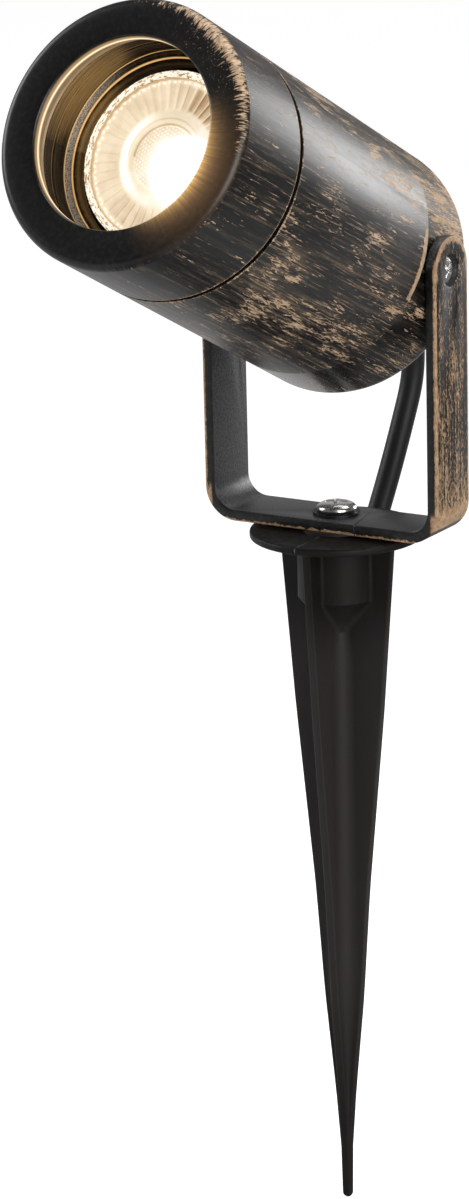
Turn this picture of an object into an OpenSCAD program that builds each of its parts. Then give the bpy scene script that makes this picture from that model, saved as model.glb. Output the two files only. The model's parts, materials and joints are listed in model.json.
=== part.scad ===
// Garden spike spotlight: a tilting lamp head in a U bracket on a ground spike.
// Millimetres. The origin is the centre of the flange's underside, at ground level.
// Z is up, X runs from arm to arm, and the lamp head faces -Y, tilted up.

/* [Lamp head] */
// Room round the lamp, out to the surface of the head
lamp_surround = 13; // [12.4:0.2:17]
// Angle of the head above level at rest
head_tilt = 26; // [10:1:40]
// Pivot axis to the front face
head_front = 126; // [120:1:140]
// Pivot axis to the joint between housing and bezel
joint_at = 94; // [90:1:97]
// Pivot axis to the rear face
head_back = 14.5; // [10:0.5:20]
// Wall of the housing
housing_wall = 5.6; // [5.4:0.1:6.6]
// Rounding of the rear edge
back_round = 6.5; // [2:0.5:8]
// Thickness of the rear wall
back_wall = 3; // [2:0.5:4]
// Depth of the two side flats that the arms lie on
flat_depth = 2.4; // [1.5:0.1:3]
// Pivot axis to the front end of a side flat
flat_front = 14.5; // [13:0.5:20]

/* [Bezel and lens] */
// Width of the rim round the light opening
front_rim = 11; // [9:0.5:13]
// Wall of the bezel round the gasket
bezel_wall = 5.7; // [5.4:0.1:6.6]
// Thickness of the bezel's front wall
front_wall = 3.6; // [3:0.2:5]
// Rounding of the bezel's front edge
front_round = 2.6; // [1:0.2:3]
// Width of the groove between bezel and housing
groove_w = 0.8; // [0.5:0.1:1.5]
// Depth of that groove
groove_depth = 1.6; // [1:0.1:2]
// Wall of the threaded spigot that the bezel screws on to
spigot_wall = 2.6; // [2:0.1:3.4]
// Length of that spigot
thread_len = 9.6; // [8:0.2:11]
// Thickness of the glass
glass_t = 4; // [3:0.5:5]

/* [Lamp] */
// Diameter of the lamp's face
lamp_d = 50; // [49:0.5:51]
// Pivot axis to the lamp's face
lamp_front = 102; // [100:0.5:106]
// Length of the lamp from its face to its base
lamp_len = 48; // [46:0.5:52]
// Spacing of the two base pins
pin_spacing = 10; // [10:0.5:11]
// Twist that locks the lamp in its holder
lock_angle = 20; // [15:1:30]

/* [Bracket] */
// Thickness of the strip
bracket_t = 3.4; // [3:0.1:3.6]
// Width of the strip
bracket_w = 20; // [16:1:22]
// Height of the pivot axis above the ground
pivot_h = 83.3; // [78:0.1:100]
// Outer radius of the two bends
bend_r = 10; // [6:0.5:14]
// Diameter of the recess round each pivot screw
recess_d = 9.4; // [9:0.2:10]
// Depth of that recess
recess_depth = 2.4; // [2:0.1:2.6]

/* [Spike] */
// Diameter of the flange
flange_d = 52; // [44:1:60]
// Thickness of the flange
flange_t = 2.2; // [2:0.1:4]
// Length of the spike below the ground line
spike_len = 213; // [160:1:260]
// Width across two blades at the top
blades_w = 38.4; // [32:0.2:44]
// Thickness of a blade
blade_t = 2.6; // [2:0.1:4]
// Diameter of the boss under the flange
boss_d = 24; // [18:1:28]
// Length of that boss down to its cone
boss_len = 18.5; // [16:0.5:24]
// Length of the cone below the boss
boss_cone = 11; // [8:0.5:16]

/* [Cord] */
// Diameter of the cord
cord_d = 7; // [6:0.5:7]

/* [Hidden] */
$fn = 96;

// Shared clearances
overrun = 1;
running = 0.05;
seat_gap = 0.1;
side_gap = 0.3;

// Head, worked out from the sizes above
lamp_r = lamp_d / 2;
head_r = lamp_r + lamp_surround;
cavity_r = head_r - housing_wall;
flat_x = head_r - flat_depth;
cavity_back = back_wall - head_back;
shoulder_at = joint_at - groove_w / 2;
seat_at = joint_at + groove_w / 2;
neck_r = head_r - groove_depth;
spigot_r = cavity_r + spigot_wall;
spigot_end = seat_at + thread_len;
rail_depth = 7.4;
rail_in = cavity_r - rail_depth;
rail_w = 10;
rail_front = 36.6;

// Bezel, glass and sleeve
bezel_bore_r = spigot_r + running;
opening_r = head_r - front_rim;
seat_r = head_r - bezel_wall;
gasket_t = 1.2;
gasket_lip = 0.8;
gasket_gap = 0.1;
glass_r = seat_r - gasket_t - gasket_gap;
glass_seat = head_front - front_wall;
glass_front = glass_seat - gasket_lip;
glass_back = glass_front - glass_t;
sleeve_flange_t = 1.8;
bezel_step = spigot_end + sleeve_flange_t + 2 * seat_gap;
sleeve_end = glass_back - gasket_lip;
opening_edge = 0.8;
lip_grip = 2;

// Sleeve between the housing and the glass
sleeve_r = cavity_r - seat_gap;
sleeve_lip = 0.2;
sleeve_step = 0.5;
sleeve_out_r = glass_r - sleeve_lip;
sleeve_mid_r = sleeve_out_r - sleeve_step;
sleeve_gap = 1.6;
sleeve_ledge = 1.8;
sleeve_bore_r = lamp_r + sleeve_gap;
sleeve_step_r = sleeve_bore_r + sleeve_ledge;
sleeve_under = 3;
sleeve_back = lamp_front - sleeve_under;
sleeve_ring_h = 4;
sleeve_ring_at = sleeve_back + sleeve_ring_h;
sleeve_mid_h = 6.5;
sleeve_mid_at = sleeve_ring_at + sleeve_mid_h;
sleeve_out_h = 4.5;
sleeve_out_at = sleeve_mid_at + sleeve_out_h;
sleeve_step_h = 0.7;

// O-ring under the bezel
o_ring_d = 1.8;
o_ring_proud_share = 0.25;
o_ring_place_share = 1.1;
o_ring_r = spigot_r - o_ring_d * (1 / 2 - o_ring_proud_share);
o_ring_at = seat_at + o_ring_place_share * o_ring_d;

// Lamp
lamp_rim = 3.2;
lamp_base = lamp_front - lamp_len;
lamp_neck_r = 14.5;
lamp_neck_len = 14;
lamp_tail_r = 8.6;
lamp_tail_len = 11;
lens_in = 1.2;
lens_t = 2;
dome_r = 9.4;
dome_h = 1.6;
pin_neck_r = 1.4;
pin_neck_len = 4;
pin_head_r = 2.45;
pin_head_len = 2.6;

// Holder, bridge and their screws
holder_gap = 0.3;
holder_r = 13;
holder_h = 15.6;
holder_plate = 3;
holder_top = lamp_base - holder_gap;
holder_bottom = holder_top - holder_h;
keyhole_gap = 0.2;
entry_gap = 0.35;
arc_steps = 12;
chamber_depth = 5.5;
contact_t = 0.5;
contact_w = 3.2;
bridge_t = 1.3;
bridge_w = 14;
bridge_end = 2;
bridge_hole_r = 3.5;
bridge_inset = 3.5;
bridge_screw_x = rail_in + bridge_inset;
bridge_len = 2 * (bridge_screw_x + bridge_end);
holder_screw_y = 9.8;
small_screw_r = 1.5;
small_head_r = 2.75;
small_head_h = 1.9;
small_screw_len = 6;

// Terminal block and earth screw
block_w = 24;
block_d = 15;
block_h = 13;
block_margin = 4.2;
block_y = cavity_r - block_margin - block_d / 2;
block_stand = 4.5;
block_stand_r = 3;
block_z = cavity_back + block_stand;
block_screw_head_r = 2.1;
block_screw_head_h = 1.4;
pole_slot = 0.4;
pole_pitch = 7.5;
pole_screw_r = 1.7;
pole_screw_sunk = 2.5;
entry_r = 1.7;
entry_up = 4.2;
earth_x = 16;
earth_y = -15;
earth_boss_r = 4.5;
earth_boss_h = 5;
earth_screw_r = 2;
earth_head_r = 3.9;
earth_head_h = 2.4;
eyelet_t = 0.8;
eyelet_rim = 0.25;

// Bracket
arm_in = flat_x + side_gap;
arm_out = arm_in + bracket_t;
strip_half = bracket_w / 2;
washer_t = 1;
base_z = flange_t + washer_t;
base_top = base_z + bracket_t;
bend_in = bend_r - bracket_t;
base_hole_r = 3.2;

// Screws
pivot_thread_r = 2.5;
pivot_hole_r = 2.6;
pivot_head_r = 4.4;
pivot_head_h = 1.5;
pivot_len = 8;
base_thread_r = 3;
base_head_r = 6;
base_head_h = 4.2;
base_len = 18;
base_spare = 1;
washer_r = 7;
steel_washer_t = 0.8;
pan_washer_r = 11;
recess_arm_share = 0.52;
recess_width_share = 0.16;
recess_depth_share = 0.45;

// Spike
flange_r = flange_d / 2;
insert_r = 4.5;
insert_len = 14;
insert_hole_r = 2.5;
core_top_r = 3;
core_tip_r = 1.3;
tip_r = 1.6;
flange_edge = 0.6;
blade_depth_shares = [0, 0.253, 0.52, 0.685, 0.83, 0.93];
blade_width_shares = [1, 0.77, 0.47, 0.333, 0.165, 0.09];

// Gland at the back of the head
gland_shank_r = 7.9;
gland_hole_r = 8;
gland_hex_r = 12.4;
gland_hex_h = 5;
gland_washer_t = 1;
gland_neck_len = 6;
gland_neck_r = 7.4;
gland_cap_len = 15;
gland_cap_r = 11;
gland_cap_tip_r = 6.4;
gland_cap_wall = 1.6;
gland_nut_h = 4;
gland_ribs = 12;
gland_rib_r = 0.7;
seal_wall = 1.7;
cord_r = cord_d / 2;
entry_end = 2;
gland_face = -head_back - gland_washer_t;
gland_exit = gland_face - gland_hex_h - gland_cap_len;

// Wires inside the housing
wire_r = 1.2;
wire_ring = 1.75;
wire_steps = 3;
wire_sides = 8;
wire_side = unit([1, 0.3, 0.2]);
wire_z = block_z + entry_up + running;
block_low = block_y - block_d / 2;
block_high = block_y + block_d / 2;

// Cord: the free stretch, then a coil that hangs edge-on behind the spike
coil_yaw = 31;
coil_turns = 4;
coil_rings = 24;
coil_sides = 6;
coil_pitch = 7.5;
coil_out_r = 43.2;
coil_near = 28;
coil_centre_z = -60;
coil_side = [cos(coil_yaw), sin(coil_yaw), 0];
coil_away = [-sin(coil_yaw), cos(coil_yaw), 0];
coil_up = [0, 0, 1];
cord_sides = 12;
cord_steps = 4;
cord_lead = 5;
// Places along the free stretch, chosen by hand, between the gland and the coil
cord_route = [
    [-0.05, 40.4, 63.1], [-0.2, 44.6, 59.4], [-0.5, 48, 54.8], [-0.9, 50.3, 49.6], [-1.35, 51.4, 44.1],
    [-1.75, 51.4, 38.5], [-2.15, 50.2, 32.9], [-2.8, 47, 24.8], [-3.7, 43.2, 15.4], [-4.8, 39.4, 6],
    [-6.1, 35.5, -3.6], [-7.5, 31.7, -13.4], [-9, 28.8, -23.2], [-10.3, 27, -33], [-11.1, 26.1, -42]
];
tie_w = 5;
tie_t = 0.9;
tie_gap = 0.3;
core_r = 1.25;
core_len = 22;
core_bare = 6;
strand_r = 0.6;
core_spread = 3.4;
core_ring = 1.55;

// Colours
black_c = [0.09, 0.085, 0.08];
bronze_c = [0.36, 0.29, 0.22];
dark_c = [0.2, 0.19, 0.17];
plastic_c = [0.13, 0.13, 0.13];
rubber_c = [0.16, 0.16, 0.16];
zinc_c = [0.78, 0.78, 0.76];
brass_c = [0.78, 0.62, 0.3];
glass_c = [0.95, 0.93, 0.85, 0.35];
glow_c = [1, 0.93, 0.75];
white_c = [0.9, 0.89, 0.86];
ceramic_c = [0.88, 0.86, 0.8];
brown_c = [0.4, 0.2, 0.1];
blue_c = [0.1, 0.35, 0.75];
earth_c = [0.55, 0.7, 0.1];
copper_c = [0.8, 0.45, 0.25];

// Places what follows in the head's own frame: z runs forward along its axis
module in_head() {
    translate([0, 0, pivot_h]) rotate([90 - head_tilt, 0, 0]) children();
}

// A ring section from radius r0 to r1, height z0 to z1, to be revolved
module band(r0, r1, z0, z1) {
    translate([r0, z0]) square([r1 - r0, z1 - z0]);
}

// Half of a disc with its outer corner rounded at the top
module rounded_disc(r, z0, z1, corner) {
    band(0, r - corner, z0, z1);
    band(0, r, z0, z1 - corner);
    translate([r - corner, z1 - corner]) circle(corner, $fn = 48);
}

// Low domed screw head standing on z = 0
module pan_head(r, h) {
    dome = (r * r + h * h) / (2 * h);
    rotate_extrude() intersection() {
        translate([0, h - dome]) circle(dome);
        band(0, r, 0, h);
    }
}

// Cross-shaped driver recess cut down from z = h
module cross_recess(r, h) {
    reach = 2 * r * recess_arm_share;
    width = 2 * r * recess_width_share;
    depth = h * recess_depth_share;
    for (turn = [0, 90])
        rotate([0, 0, turn]) translate([-reach / 2, -width / 2, h - depth])
            cube([reach, width, depth + overrun]);
}

// Screw with a domed head on z = 0 and its shank below
module pan_screw(head_r, head_h, shank_r, len) {
    difference() {
        pan_head(head_r, head_h);
        cross_recess(head_r, head_h);
    }
    translate([0, 0, -len]) cylinder(r = shank_r, h = len);
}

// Vector helpers for swept tubes
function unit(v) = v / norm(v);
function mix(a, b, t) = a + (b - a) * t;
function spline(p, i, t) =
    let (n = len(p), a = p[max(i - 1, 0)], b = p[i], c = p[i + 1], d = p[min(i + 2, n - 1)])
    0.5 * (2 * b + (c - a) * t + (2 * a - 5 * b + 4 * c - d) * t * t
        + (3 * b - a - 3 * c + d) * t * t * t);
function smooth(p, steps) = concat(
    [for (i = [0:len(p) - 2]) for (k = [0:steps - 1]) spline(p, i, k / steps)],
    [p[len(p) - 1]]);
function heading(p, i) = unit(p[min(i + 1, len(p) - 1)] - p[max(i - 1, 0)]);
function ring_at(p, i, r, sides, side) =
    let (t = heading(p, i), a = unit(side - (side * t) * t), b = cross(t, a))
    [for (k = [0:sides - 1])
        p[i] + r * (cos(360 * k / sides) * a + sin(360 * k / sides) * b)];

// Round tube along the points p, its rings turned so that a point lies towards side
module tube(p, r, sides, side) {
    n = len(p);
    points = [for (i = [0:n - 1]) each ring_at(p, i, r, sides, side)];
    walls = [for (i = [0:n - 2]) for (k = [0:sides - 1])
        let (a = i * sides + k, b = i * sides + (k + 1) % sides)
        each [[a, a + sides, b], [b, a + sides, b + sides]]];
    start_cap = [for (k = [1:sides - 2]) [0, k, k + 1]];
    last = (n - 1) * sides;
    end_cap = [for (k = [1:sides - 2]) [last, last + k + 1, last + k]];
    polyhedron(points = points, faces = concat(walls, start_cap, end_cap));
}

// Spike: cross of tapering blades, boss, flange and rounded tip
function blade_half(i) = blades_w / 2 * blade_width_shares[i];
function blade_depth(i) = -spike_len * blade_depth_shares[i];

module blade_outline() {
    last = len(blade_depth_shares) - 1;
    right = [for (i = [0:last]) [blade_half(i), blade_depth(i)]];
    left = [for (i = [last:-1:0]) [-blade_half(i), blade_depth(i)]];
    polygon(concat(right, left));
}

module blade() {
    translate([0, blade_t / 2, 0]) rotate([90, 0, 0]) linear_extrude(blade_t) blade_outline();
}

module spike_core() {
    tip_z = tip_r - spike_len;
    translate([0, 0, tip_z]) cylinder(r1 = core_tip_r, r2 = core_top_r, h = -tip_z);
    translate([0, 0, tip_z]) rotate_extrude() intersection() {
        circle(tip_r);
        band(0, tip_r, -tip_r, tip_r);
    }
}

module spike_boss() {
    translate([0, 0, -boss_len]) cylinder(d = boss_d, h = boss_len);
    translate([0, 0, -boss_len - boss_cone])
        cylinder(r1 = core_top_r - blade_t / 4, r2 = boss_d / 2, h = boss_cone);
}

module spike() {
    color(plastic_c) difference() {
        union() {
            blade();
            rotate([0, 0, 90]) blade();
            spike_core();
            spike_boss();
            rotate_extrude() rounded_disc(flange_r, 0, flange_t, flange_edge);
        }
        translate([0, 0, flange_t - insert_len]) cylinder(r = insert_r, h = insert_len + overrun);
        translate([0, 0, base_top - base_len - base_spare]) cylinder(r = base_hole_r, h = base_len);
    }
}

module spike_insert() {
    color(brass_c) translate([0, 0, flange_t - insert_len]) difference() {
        cylinder(r = insert_r - running, h = insert_len);
        translate([0, 0, -overrun]) cylinder(r = base_thread_r + running, h = insert_len + 2 * overrun);
    }
}

module pan_washer() {
    color(plastic_c) translate([0, 0, flange_t + running / 2]) difference() {
        cylinder(r = pan_washer_r, h = washer_t - running);
        translate([0, 0, -overrun]) cylinder(r = base_hole_r, h = washer_t + 2 * overrun);
    }
}

module base_washer() {
    color(zinc_c) translate([0, 0, base_top + running]) difference() {
        cylinder(r = washer_r, h = steel_washer_t);
        translate([0, 0, -overrun]) cylinder(r = base_hole_r, h = steel_washer_t + 2 * overrun);
    }
}

module base_screw() {
    color(zinc_c) translate([0, 0, base_top + steel_washer_t + 2 * running])
        pan_screw(base_head_r, base_head_h, base_thread_r, base_len);
}

// Bracket: a strip bent to a U, its arms round at the top
module u_outline(out, low, bend, top) {
    translate([-out, low + bend]) square([2 * out, top - low - bend]);
    translate([bend - out, low]) square([2 * (out - bend), bend + overrun]);
    for (s = [-1, 1])
        translate([s * (out - bend), low + bend]) circle(bend);
}

module bracket_side() {
    translate([0, pivot_h]) circle(strip_half);
    translate([-strip_half, 0]) square([bracket_w, pivot_h]);
}

module bracket() {
    reach = pivot_h + strip_half + overrun;
    color(bronze_c) difference() {
        intersection() {
            translate([0, strip_half + overrun, 0]) rotate([90, 0, 0])
                linear_extrude(bracket_w + 2 * overrun) difference() {
                    u_outline(arm_out, base_z, bend_r, reach);
                    u_outline(arm_in, base_top, bend_in, reach + overrun);
                }
            rotate([90, 0, 90]) translate([0, 0, -arm_out - overrun])
                linear_extrude(2 * (arm_out + overrun)) bracket_side();
        }
        for (s = [-1, 1]) translate([0, 0, pivot_h]) rotate([0, s * 90, 0]) {
            cylinder(r = pivot_hole_r, h = arm_out + overrun);
            translate([0, 0, arm_out - recess_depth]) cylinder(d = recess_d, h = recess_depth + overrun);
        }
        translate([0, 0, base_z - overrun]) cylinder(r = base_hole_r, h = bracket_t + 2 * overrun);
    }
}

module pivot_screws() {
    color(zinc_c) for (s = [-1, 1])
        translate([0, 0, pivot_h]) rotate([0, s * 90, 0])
            translate([0, 0, arm_out - recess_depth + running])
                pan_screw(pivot_head_r, pivot_head_h, pivot_thread_r, pivot_len);
}

// Rear housing: round shell with two side flats, a threaded spigot and inner rails
module housing_outline() {
    mirror([0, 1]) rounded_disc(head_r, -shoulder_at, head_back, back_round);
    band(0, neck_r, shoulder_at - overrun, seat_at);
    band(0, spigot_r, seat_at - overrun, spigot_end);
}

module side_flats() {
    length = flat_front + head_back + overrun;
    for (s = [-1, 1])
        translate([s > 0 ? flat_x : -flat_x - head_r, -head_r, flat_front - length])
            cube([head_r, 2 * head_r, length]);
}

module rails() {
    intersection() {
        for (s = [-1, 1])
            translate([s > 0 ? rail_in : -rail_in - head_r, -rail_w / 2, cavity_back - overrun])
                cube([head_r, rail_w, rail_front - cavity_back + overrun]);
        translate([0, 0, cavity_back - overrun])
            cylinder(r = cavity_r + overrun, h = rail_front + head_back);
    }
}

module rear_housing() {
    color(bronze_c) in_head() difference() {
        union() {
            difference() {
                rotate_extrude() housing_outline();
                translate([0, 0, cavity_back]) cylinder(r = cavity_r, h = head_front);
            }
            rails();
            translate([earth_x, earth_y, cavity_back - overrun])
                cylinder(r = earth_boss_r, h = earth_boss_h + overrun);
            for (s = [-1, 1]) translate([s * pole_pitch / 2, block_y, cavity_back - overrun])
                cylinder(r = block_stand_r, h = block_stand + overrun);
        }
        side_flats();
        translate([0, 0, -head_back - overrun]) cylinder(r = gland_hole_r, h = back_wall + 2 * overrun);
        for (s = [-1, 1]) rotate([0, s * 90, 0])
            translate([0, 0, rail_in + overrun]) cylinder(r = pivot_thread_r + running, h = head_r);
        for (s = [-1, 1]) translate([s * bridge_screw_x, 0, rail_front - small_screw_len])
            cylinder(r = small_screw_r + running, h = small_screw_len + overrun);
        translate([earth_x, earth_y, cavity_back]) cylinder(r = earth_screw_r + running, h = head_back);
        for (s = [-1, 1]) translate([s * pole_pitch / 2, block_y, cavity_back])
            cylinder(r = small_screw_r + running, h = block_stand + overrun);
        translate([0, 0, o_ring_at]) rotate_extrude() translate([o_ring_r, 0])
            circle(o_ring_d / 2 + running, $fn = 32);
    }
}

// Front bezel: threaded ring with the light opening
module bezel_outline() {
    difference() {
        rounded_disc(head_r, seat_at + running, head_front, front_round);
        band(0, bezel_bore_r, shoulder_at, bezel_step);
        band(0, seat_r, bezel_step - overrun, glass_seat);
        band(0, opening_r, glass_seat - overrun, head_front + overrun);
        translate([opening_r, head_front]) rotate(45)
            square(opening_edge * sqrt(2), center = true);
    }
}

module front_bezel() {
    color(black_c) in_head() rotate_extrude() bezel_outline();
}

module bezel_o_ring() {
    color(rubber_c) in_head() translate([0, 0, o_ring_at])
        rotate_extrude() translate([o_ring_r, 0]) intersection() {
            circle(o_ring_d / 2, $fn = 32);
            translate([-o_ring_d, -o_ring_d])
                square([o_ring_d + spigot_r - o_ring_r, 2 * o_ring_d]);
        }
}

module lens_glass() {
    color(glass_c) in_head() translate([0, 0, glass_back]) cylinder(r = glass_r, h = glass_t);
}

module gasket_outline() {
    difference() {
        band(glass_r - lip_grip, glass_r + gasket_t, sleeve_end, glass_seat);
        band(0, glass_r, glass_back, glass_front);
    }
}

module lens_gasket() {
    color(white_c) in_head() rotate_extrude() gasket_outline();
}

module sleeve_outline() {
    difference() {
        union() {
            band(0, sleeve_r, sleeve_back, spigot_end + running);
            band(0, spigot_r - side_gap, spigot_end + running, spigot_end + sleeve_flange_t);
            band(0, seat_r - seat_gap, spigot_end, sleeve_end - running);
        }
        band(0, sleeve_bore_r, sleeve_back - overrun, glass_front);
        band(0, sleeve_step_r, sleeve_ring_at - sleeve_step_h, glass_front);
        band(0, sleeve_mid_r, sleeve_ring_at, glass_front);
        band(0, sleeve_out_r, sleeve_mid_at, glass_front);
        band(0, glass_r, sleeve_out_at, glass_front);
    }
}

module lens_sleeve() {
    color(dark_c) in_head() rotate_extrude() sleeve_outline();
}

// Lamp: reflector body with two pins, lens with a central dome
module lamp_outline() {
    tail = lamp_base + lamp_tail_len;
    neck = tail + lamp_neck_len;
    polygon([
        [0, lamp_base], [lamp_tail_r, lamp_base], [lamp_tail_r, tail],
        [lamp_neck_r - (lamp_neck_r - lamp_tail_r) / 4, tail], [lamp_neck_r, neck],
        [mix(lamp_neck_r, lamp_r, 2 / 3), mix(neck, lamp_front, 0.4)],
        [lamp_r - (lamp_r - lamp_neck_r) / 9, mix(neck, lamp_front, 0.72)],
        [lamp_r - lens_in / 2, lamp_front - lamp_rim], [lamp_r - lens_in / 2, lamp_front - lens_t],
        [0, lamp_front - lens_t]
    ]);
}

module lamp_body() {
    color(white_c) in_head() rotate_extrude() lamp_outline();
}

module lens_outline() {
    dome = (dome_r * dome_r + dome_h * dome_h) / (2 * dome_h);
    floor_z = lamp_front - lens_in;
    difference() {
        union() {
            band(0, lamp_r, lamp_front - lens_t + running, lamp_front);
        }
        band(0, lamp_r - 2 * lens_in, floor_z, lamp_front + overrun);
    }
    translate([0, floor_z]) intersection() {
        translate([0, dome_h - dome]) circle(dome);
        band(0, dome_r, 0, dome_h);
    }
}

module lamp_lens() {
    color(glow_c) in_head() rotate_extrude() lens_outline();
}

module lamp_pins() {
    color(zinc_c) in_head() for (s = [-1, 1]) translate([s * pin_spacing / 2, 0, lamp_base]) {
        translate([0, 0, -pin_neck_len]) cylinder(r = pin_neck_r, h = pin_neck_len);
        translate([0, 0, -pin_neck_len - pin_head_len]) cylinder(r = pin_head_r, h = pin_head_len);
    }
}

// Curved slot of half width w round the holder's axis, ending in round ends
function arc_points(centre, r, from, to) =
    [for (k = [0:arc_steps]) let (a = mix(from, to, k / arc_steps)) centre + r * [cos(a), sin(a)]];

module arc_slot(w, depth) {
    r = pin_spacing / 2;
    far = r * [cos(lock_angle), sin(lock_angle)];
    linear_extrude(depth) polygon(concat(
        arc_points([0, 0], r + w, 0, lock_angle),
        arc_points(far, w, lock_angle, lock_angle + 180),
        arc_points([0, 0], r - w, lock_angle, 0),
        arc_points([r, 0], w, 180, 360)));
}

module lamp_holder() {
    color(ceramic_c) in_head() difference() {
        translate([0, 0, holder_bottom]) cylinder(r = holder_r, h = holder_h);
        for (turn = [0, 180]) rotate([0, 0, turn]) {
            translate([0, 0, holder_top - holder_plate - overrun / 2])
                arc_slot(pin_neck_r + keyhole_gap, holder_plate + overrun);
            translate([0, 0, holder_top - holder_plate - chamber_depth])
                arc_slot(pin_head_r + keyhole_gap, chamber_depth);
            rotate([0, 0, lock_angle]) translate([pin_spacing / 2, 0, holder_top - holder_plate - overrun / 2])
                cylinder(r = pin_head_r + entry_gap, h = holder_plate + overrun);
        }
        for (s = [-1, 1]) translate([0, s * holder_screw_y, holder_bottom - overrun]) {
            cylinder(r = small_screw_r + running, h = holder_h + 2 * overrun);
            translate([0, 0, holder_h - small_head_h - 2 * side_gap + overrun])
                cylinder(r = small_head_r + side_gap, h = small_head_h + overrun);
        }
    }
}

module holder_contacts() {
    floor_z = holder_top - holder_plate - chamber_depth;
    color(brass_c) in_head() for (s = [-1, 1])
        translate([s * pin_spacing / 2 - contact_w / 2, -contact_w / 2, floor_z + running])
            cube([contact_w, contact_w, contact_t]);
}

module holder_screws() {
    seat = holder_top - small_head_h - 2 * side_gap;
    color(zinc_c) in_head() for (s = [-1, 1]) translate([0, s * holder_screw_y, seat + running])
        pan_screw(small_head_r, small_head_h, small_screw_r, seat - holder_bottom + bridge_t + 2 * running);
}

module holder_bridge() {
    low = holder_bottom - bridge_t - running;
    foot = low - rail_front;
    color(zinc_c) in_head() difference() {
        union() {
            translate([-bridge_len / 2, -bridge_w / 2, low]) cube([bridge_len, bridge_w, bridge_t]);
            for (s = [-1, 1]) translate([s * bridge_screw_x, 0, rail_front + running])
                cylinder(r = small_head_r, h = foot);
        }
        translate([0, 0, low - overrun]) cylinder(r = bridge_hole_r, h = bridge_t + 2 * overrun);
        for (s = [-1, 1]) {
            translate([s * bridge_screw_x, 0, rail_front - overrun])
                cylinder(r = small_screw_r + running, h = foot + bridge_t + 2 * overrun);
            translate([0, s * holder_screw_y, low - overrun])
                cylinder(r = small_screw_r + running, h = bridge_t + 2 * overrun);
        }
    }
}

module bridge_screws() {
    color(zinc_c) in_head() for (s = [-1, 1])
        translate([s * bridge_screw_x, 0, holder_bottom])
            pan_screw(small_head_r, small_head_h, small_screw_r, small_screw_len);
}

// Terminal block with three poles, on the rear wall
module terminal_block() {
    color(white_c) in_head() translate([0, block_y, block_z + running]) difference() {
        translate([-block_w / 2, -block_d / 2, 0]) cube([block_w, block_d, block_h]);
        for (i = [-1, 1]) translate([i * pole_pitch / 2, 0, -overrun])
            cylinder(r = small_screw_r + running, h = block_h + 2 * overrun);
        for (i = [-1:1]) for (s = [-1, 1])
            translate([i * pole_pitch, s * block_d / 4, block_h - pole_screw_sunk])
                cylinder(r = pole_screw_r + running, h = pole_screw_sunk + overrun);
        for (i = [-1:1]) translate([i * pole_pitch, block_d / 2 + overrun, entry_up]) rotate([90, 0, 0])
            cylinder(r = entry_r, h = block_d + 2 * overrun);
    }
}

module terminal_screws() {
    color(brass_c) in_head() translate([0, block_y, block_z + 2 * running])
        for (i = [-1:1]) for (s = [-1, 1])
            translate([i * pole_pitch, s * block_d / 4, block_h - pole_screw_sunk])
                difference() {
                    cylinder(r = pole_screw_r, h = pole_screw_sunk - pole_slot);
                    translate([-pole_screw_r, -pole_slot / 2, pole_screw_sunk - 2 * pole_slot])
                        cube([2 * pole_screw_r, pole_slot, pole_screw_sunk]);
                }
}

module block_screws() {
    color(zinc_c) in_head() for (s = [-1, 1])
        translate([s * pole_pitch / 2, block_y, block_z + block_h + 2 * running])
            pan_screw(block_screw_head_r, block_screw_head_h, small_screw_r, block_h + block_stand - running);
}

module earth_screw() {
    color(brass_c) in_head()
        translate([earth_x, earth_y, cavity_back + earth_boss_h + eyelet_t + 2 * running])
            pan_screw(earth_head_r, earth_head_h, earth_screw_r, earth_boss_h);
}

// Wires inside the housing, in the head's frame
module wire(p) {
    in_head() tube(smooth(p, wire_steps), wire_r, wire_sides, wire_side);
}

// Where a core leaves the cord, at an angle round its axis and so far in front of its end
function core_out(angle, ahead) = [wire_ring * cos(angle), wire_ring * sin(angle), entry_end + ahead];

// Straight beginning of a core
function core_stub(angle) = [for (k = [0:2]) core_out(angle, running + wire_r * 0.8 * k)];

// Core from the cord's end into the pole that is i pitches from the middle of the block
module pole_wire(angle, i) {
    out = core_out(angle, wire_r * 3);
    mouth = [i * pole_pitch, block_low, wire_z];
    wire(concat(core_stub(angle), [mix(out, mouth, 1 / 3) + [0, 0, wire_r], mix(out, mouth, 2 / 3),
        mouth - [0, wire_r, 0], mouth + [0, wire_r * 2, 0]]));
}

module live_wire() {
    color(brown_c) pole_wire(150, -1);
}

module neutral_wire() {
    color(blue_c) pole_wire(30, 0);
}

module earth_wire() {
    top = cavity_back + earth_boss_h + running;
    out = core_out(270, wire_r * 3);
    eyelet = [earth_x - earth_head_r * 1.35, earth_y + earth_head_r * 0.8, top + wire_r];
    color(earth_c) wire(concat(core_stub(270), [mix(out, eyelet, 1 / 3) + [0, 0, wire_r],
        mix(out, eyelet, 2 / 3) + [0, 0, wire_r], eyelet]));
    color(copper_c) in_head() translate([earth_x, earth_y, top]) difference() {
        cylinder(r = earth_head_r + eyelet_rim, h = eyelet_t);
        translate([0, 0, -overrun]) cylinder(r = earth_screw_r + running, h = eyelet_t + 2 * overrun);
    }
}

module holder_leads() {
    color(white_c) for (i = [-1, 0]) {
        pole = [i * pole_pitch, block_high, wire_z];
        bend = [i * pole_pitch, block_high + wire_r / 2, wire_z + wire_r * 9];
        holder = [(i + 1 / 2) * 2 * wire_r * 1.2, 0, holder_bottom - running];
        wire([pole - [0, wire_r * 2, 0], pole + [0, wire_r * 0.6, wire_r * 0.4], bend,
            mix(bend, holder, 0.6) + [0, 0, wire_r], holder - [0, 0, wire_r * 3], holder - [0, 0, wire_r],
            holder]);
    }
}

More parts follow.
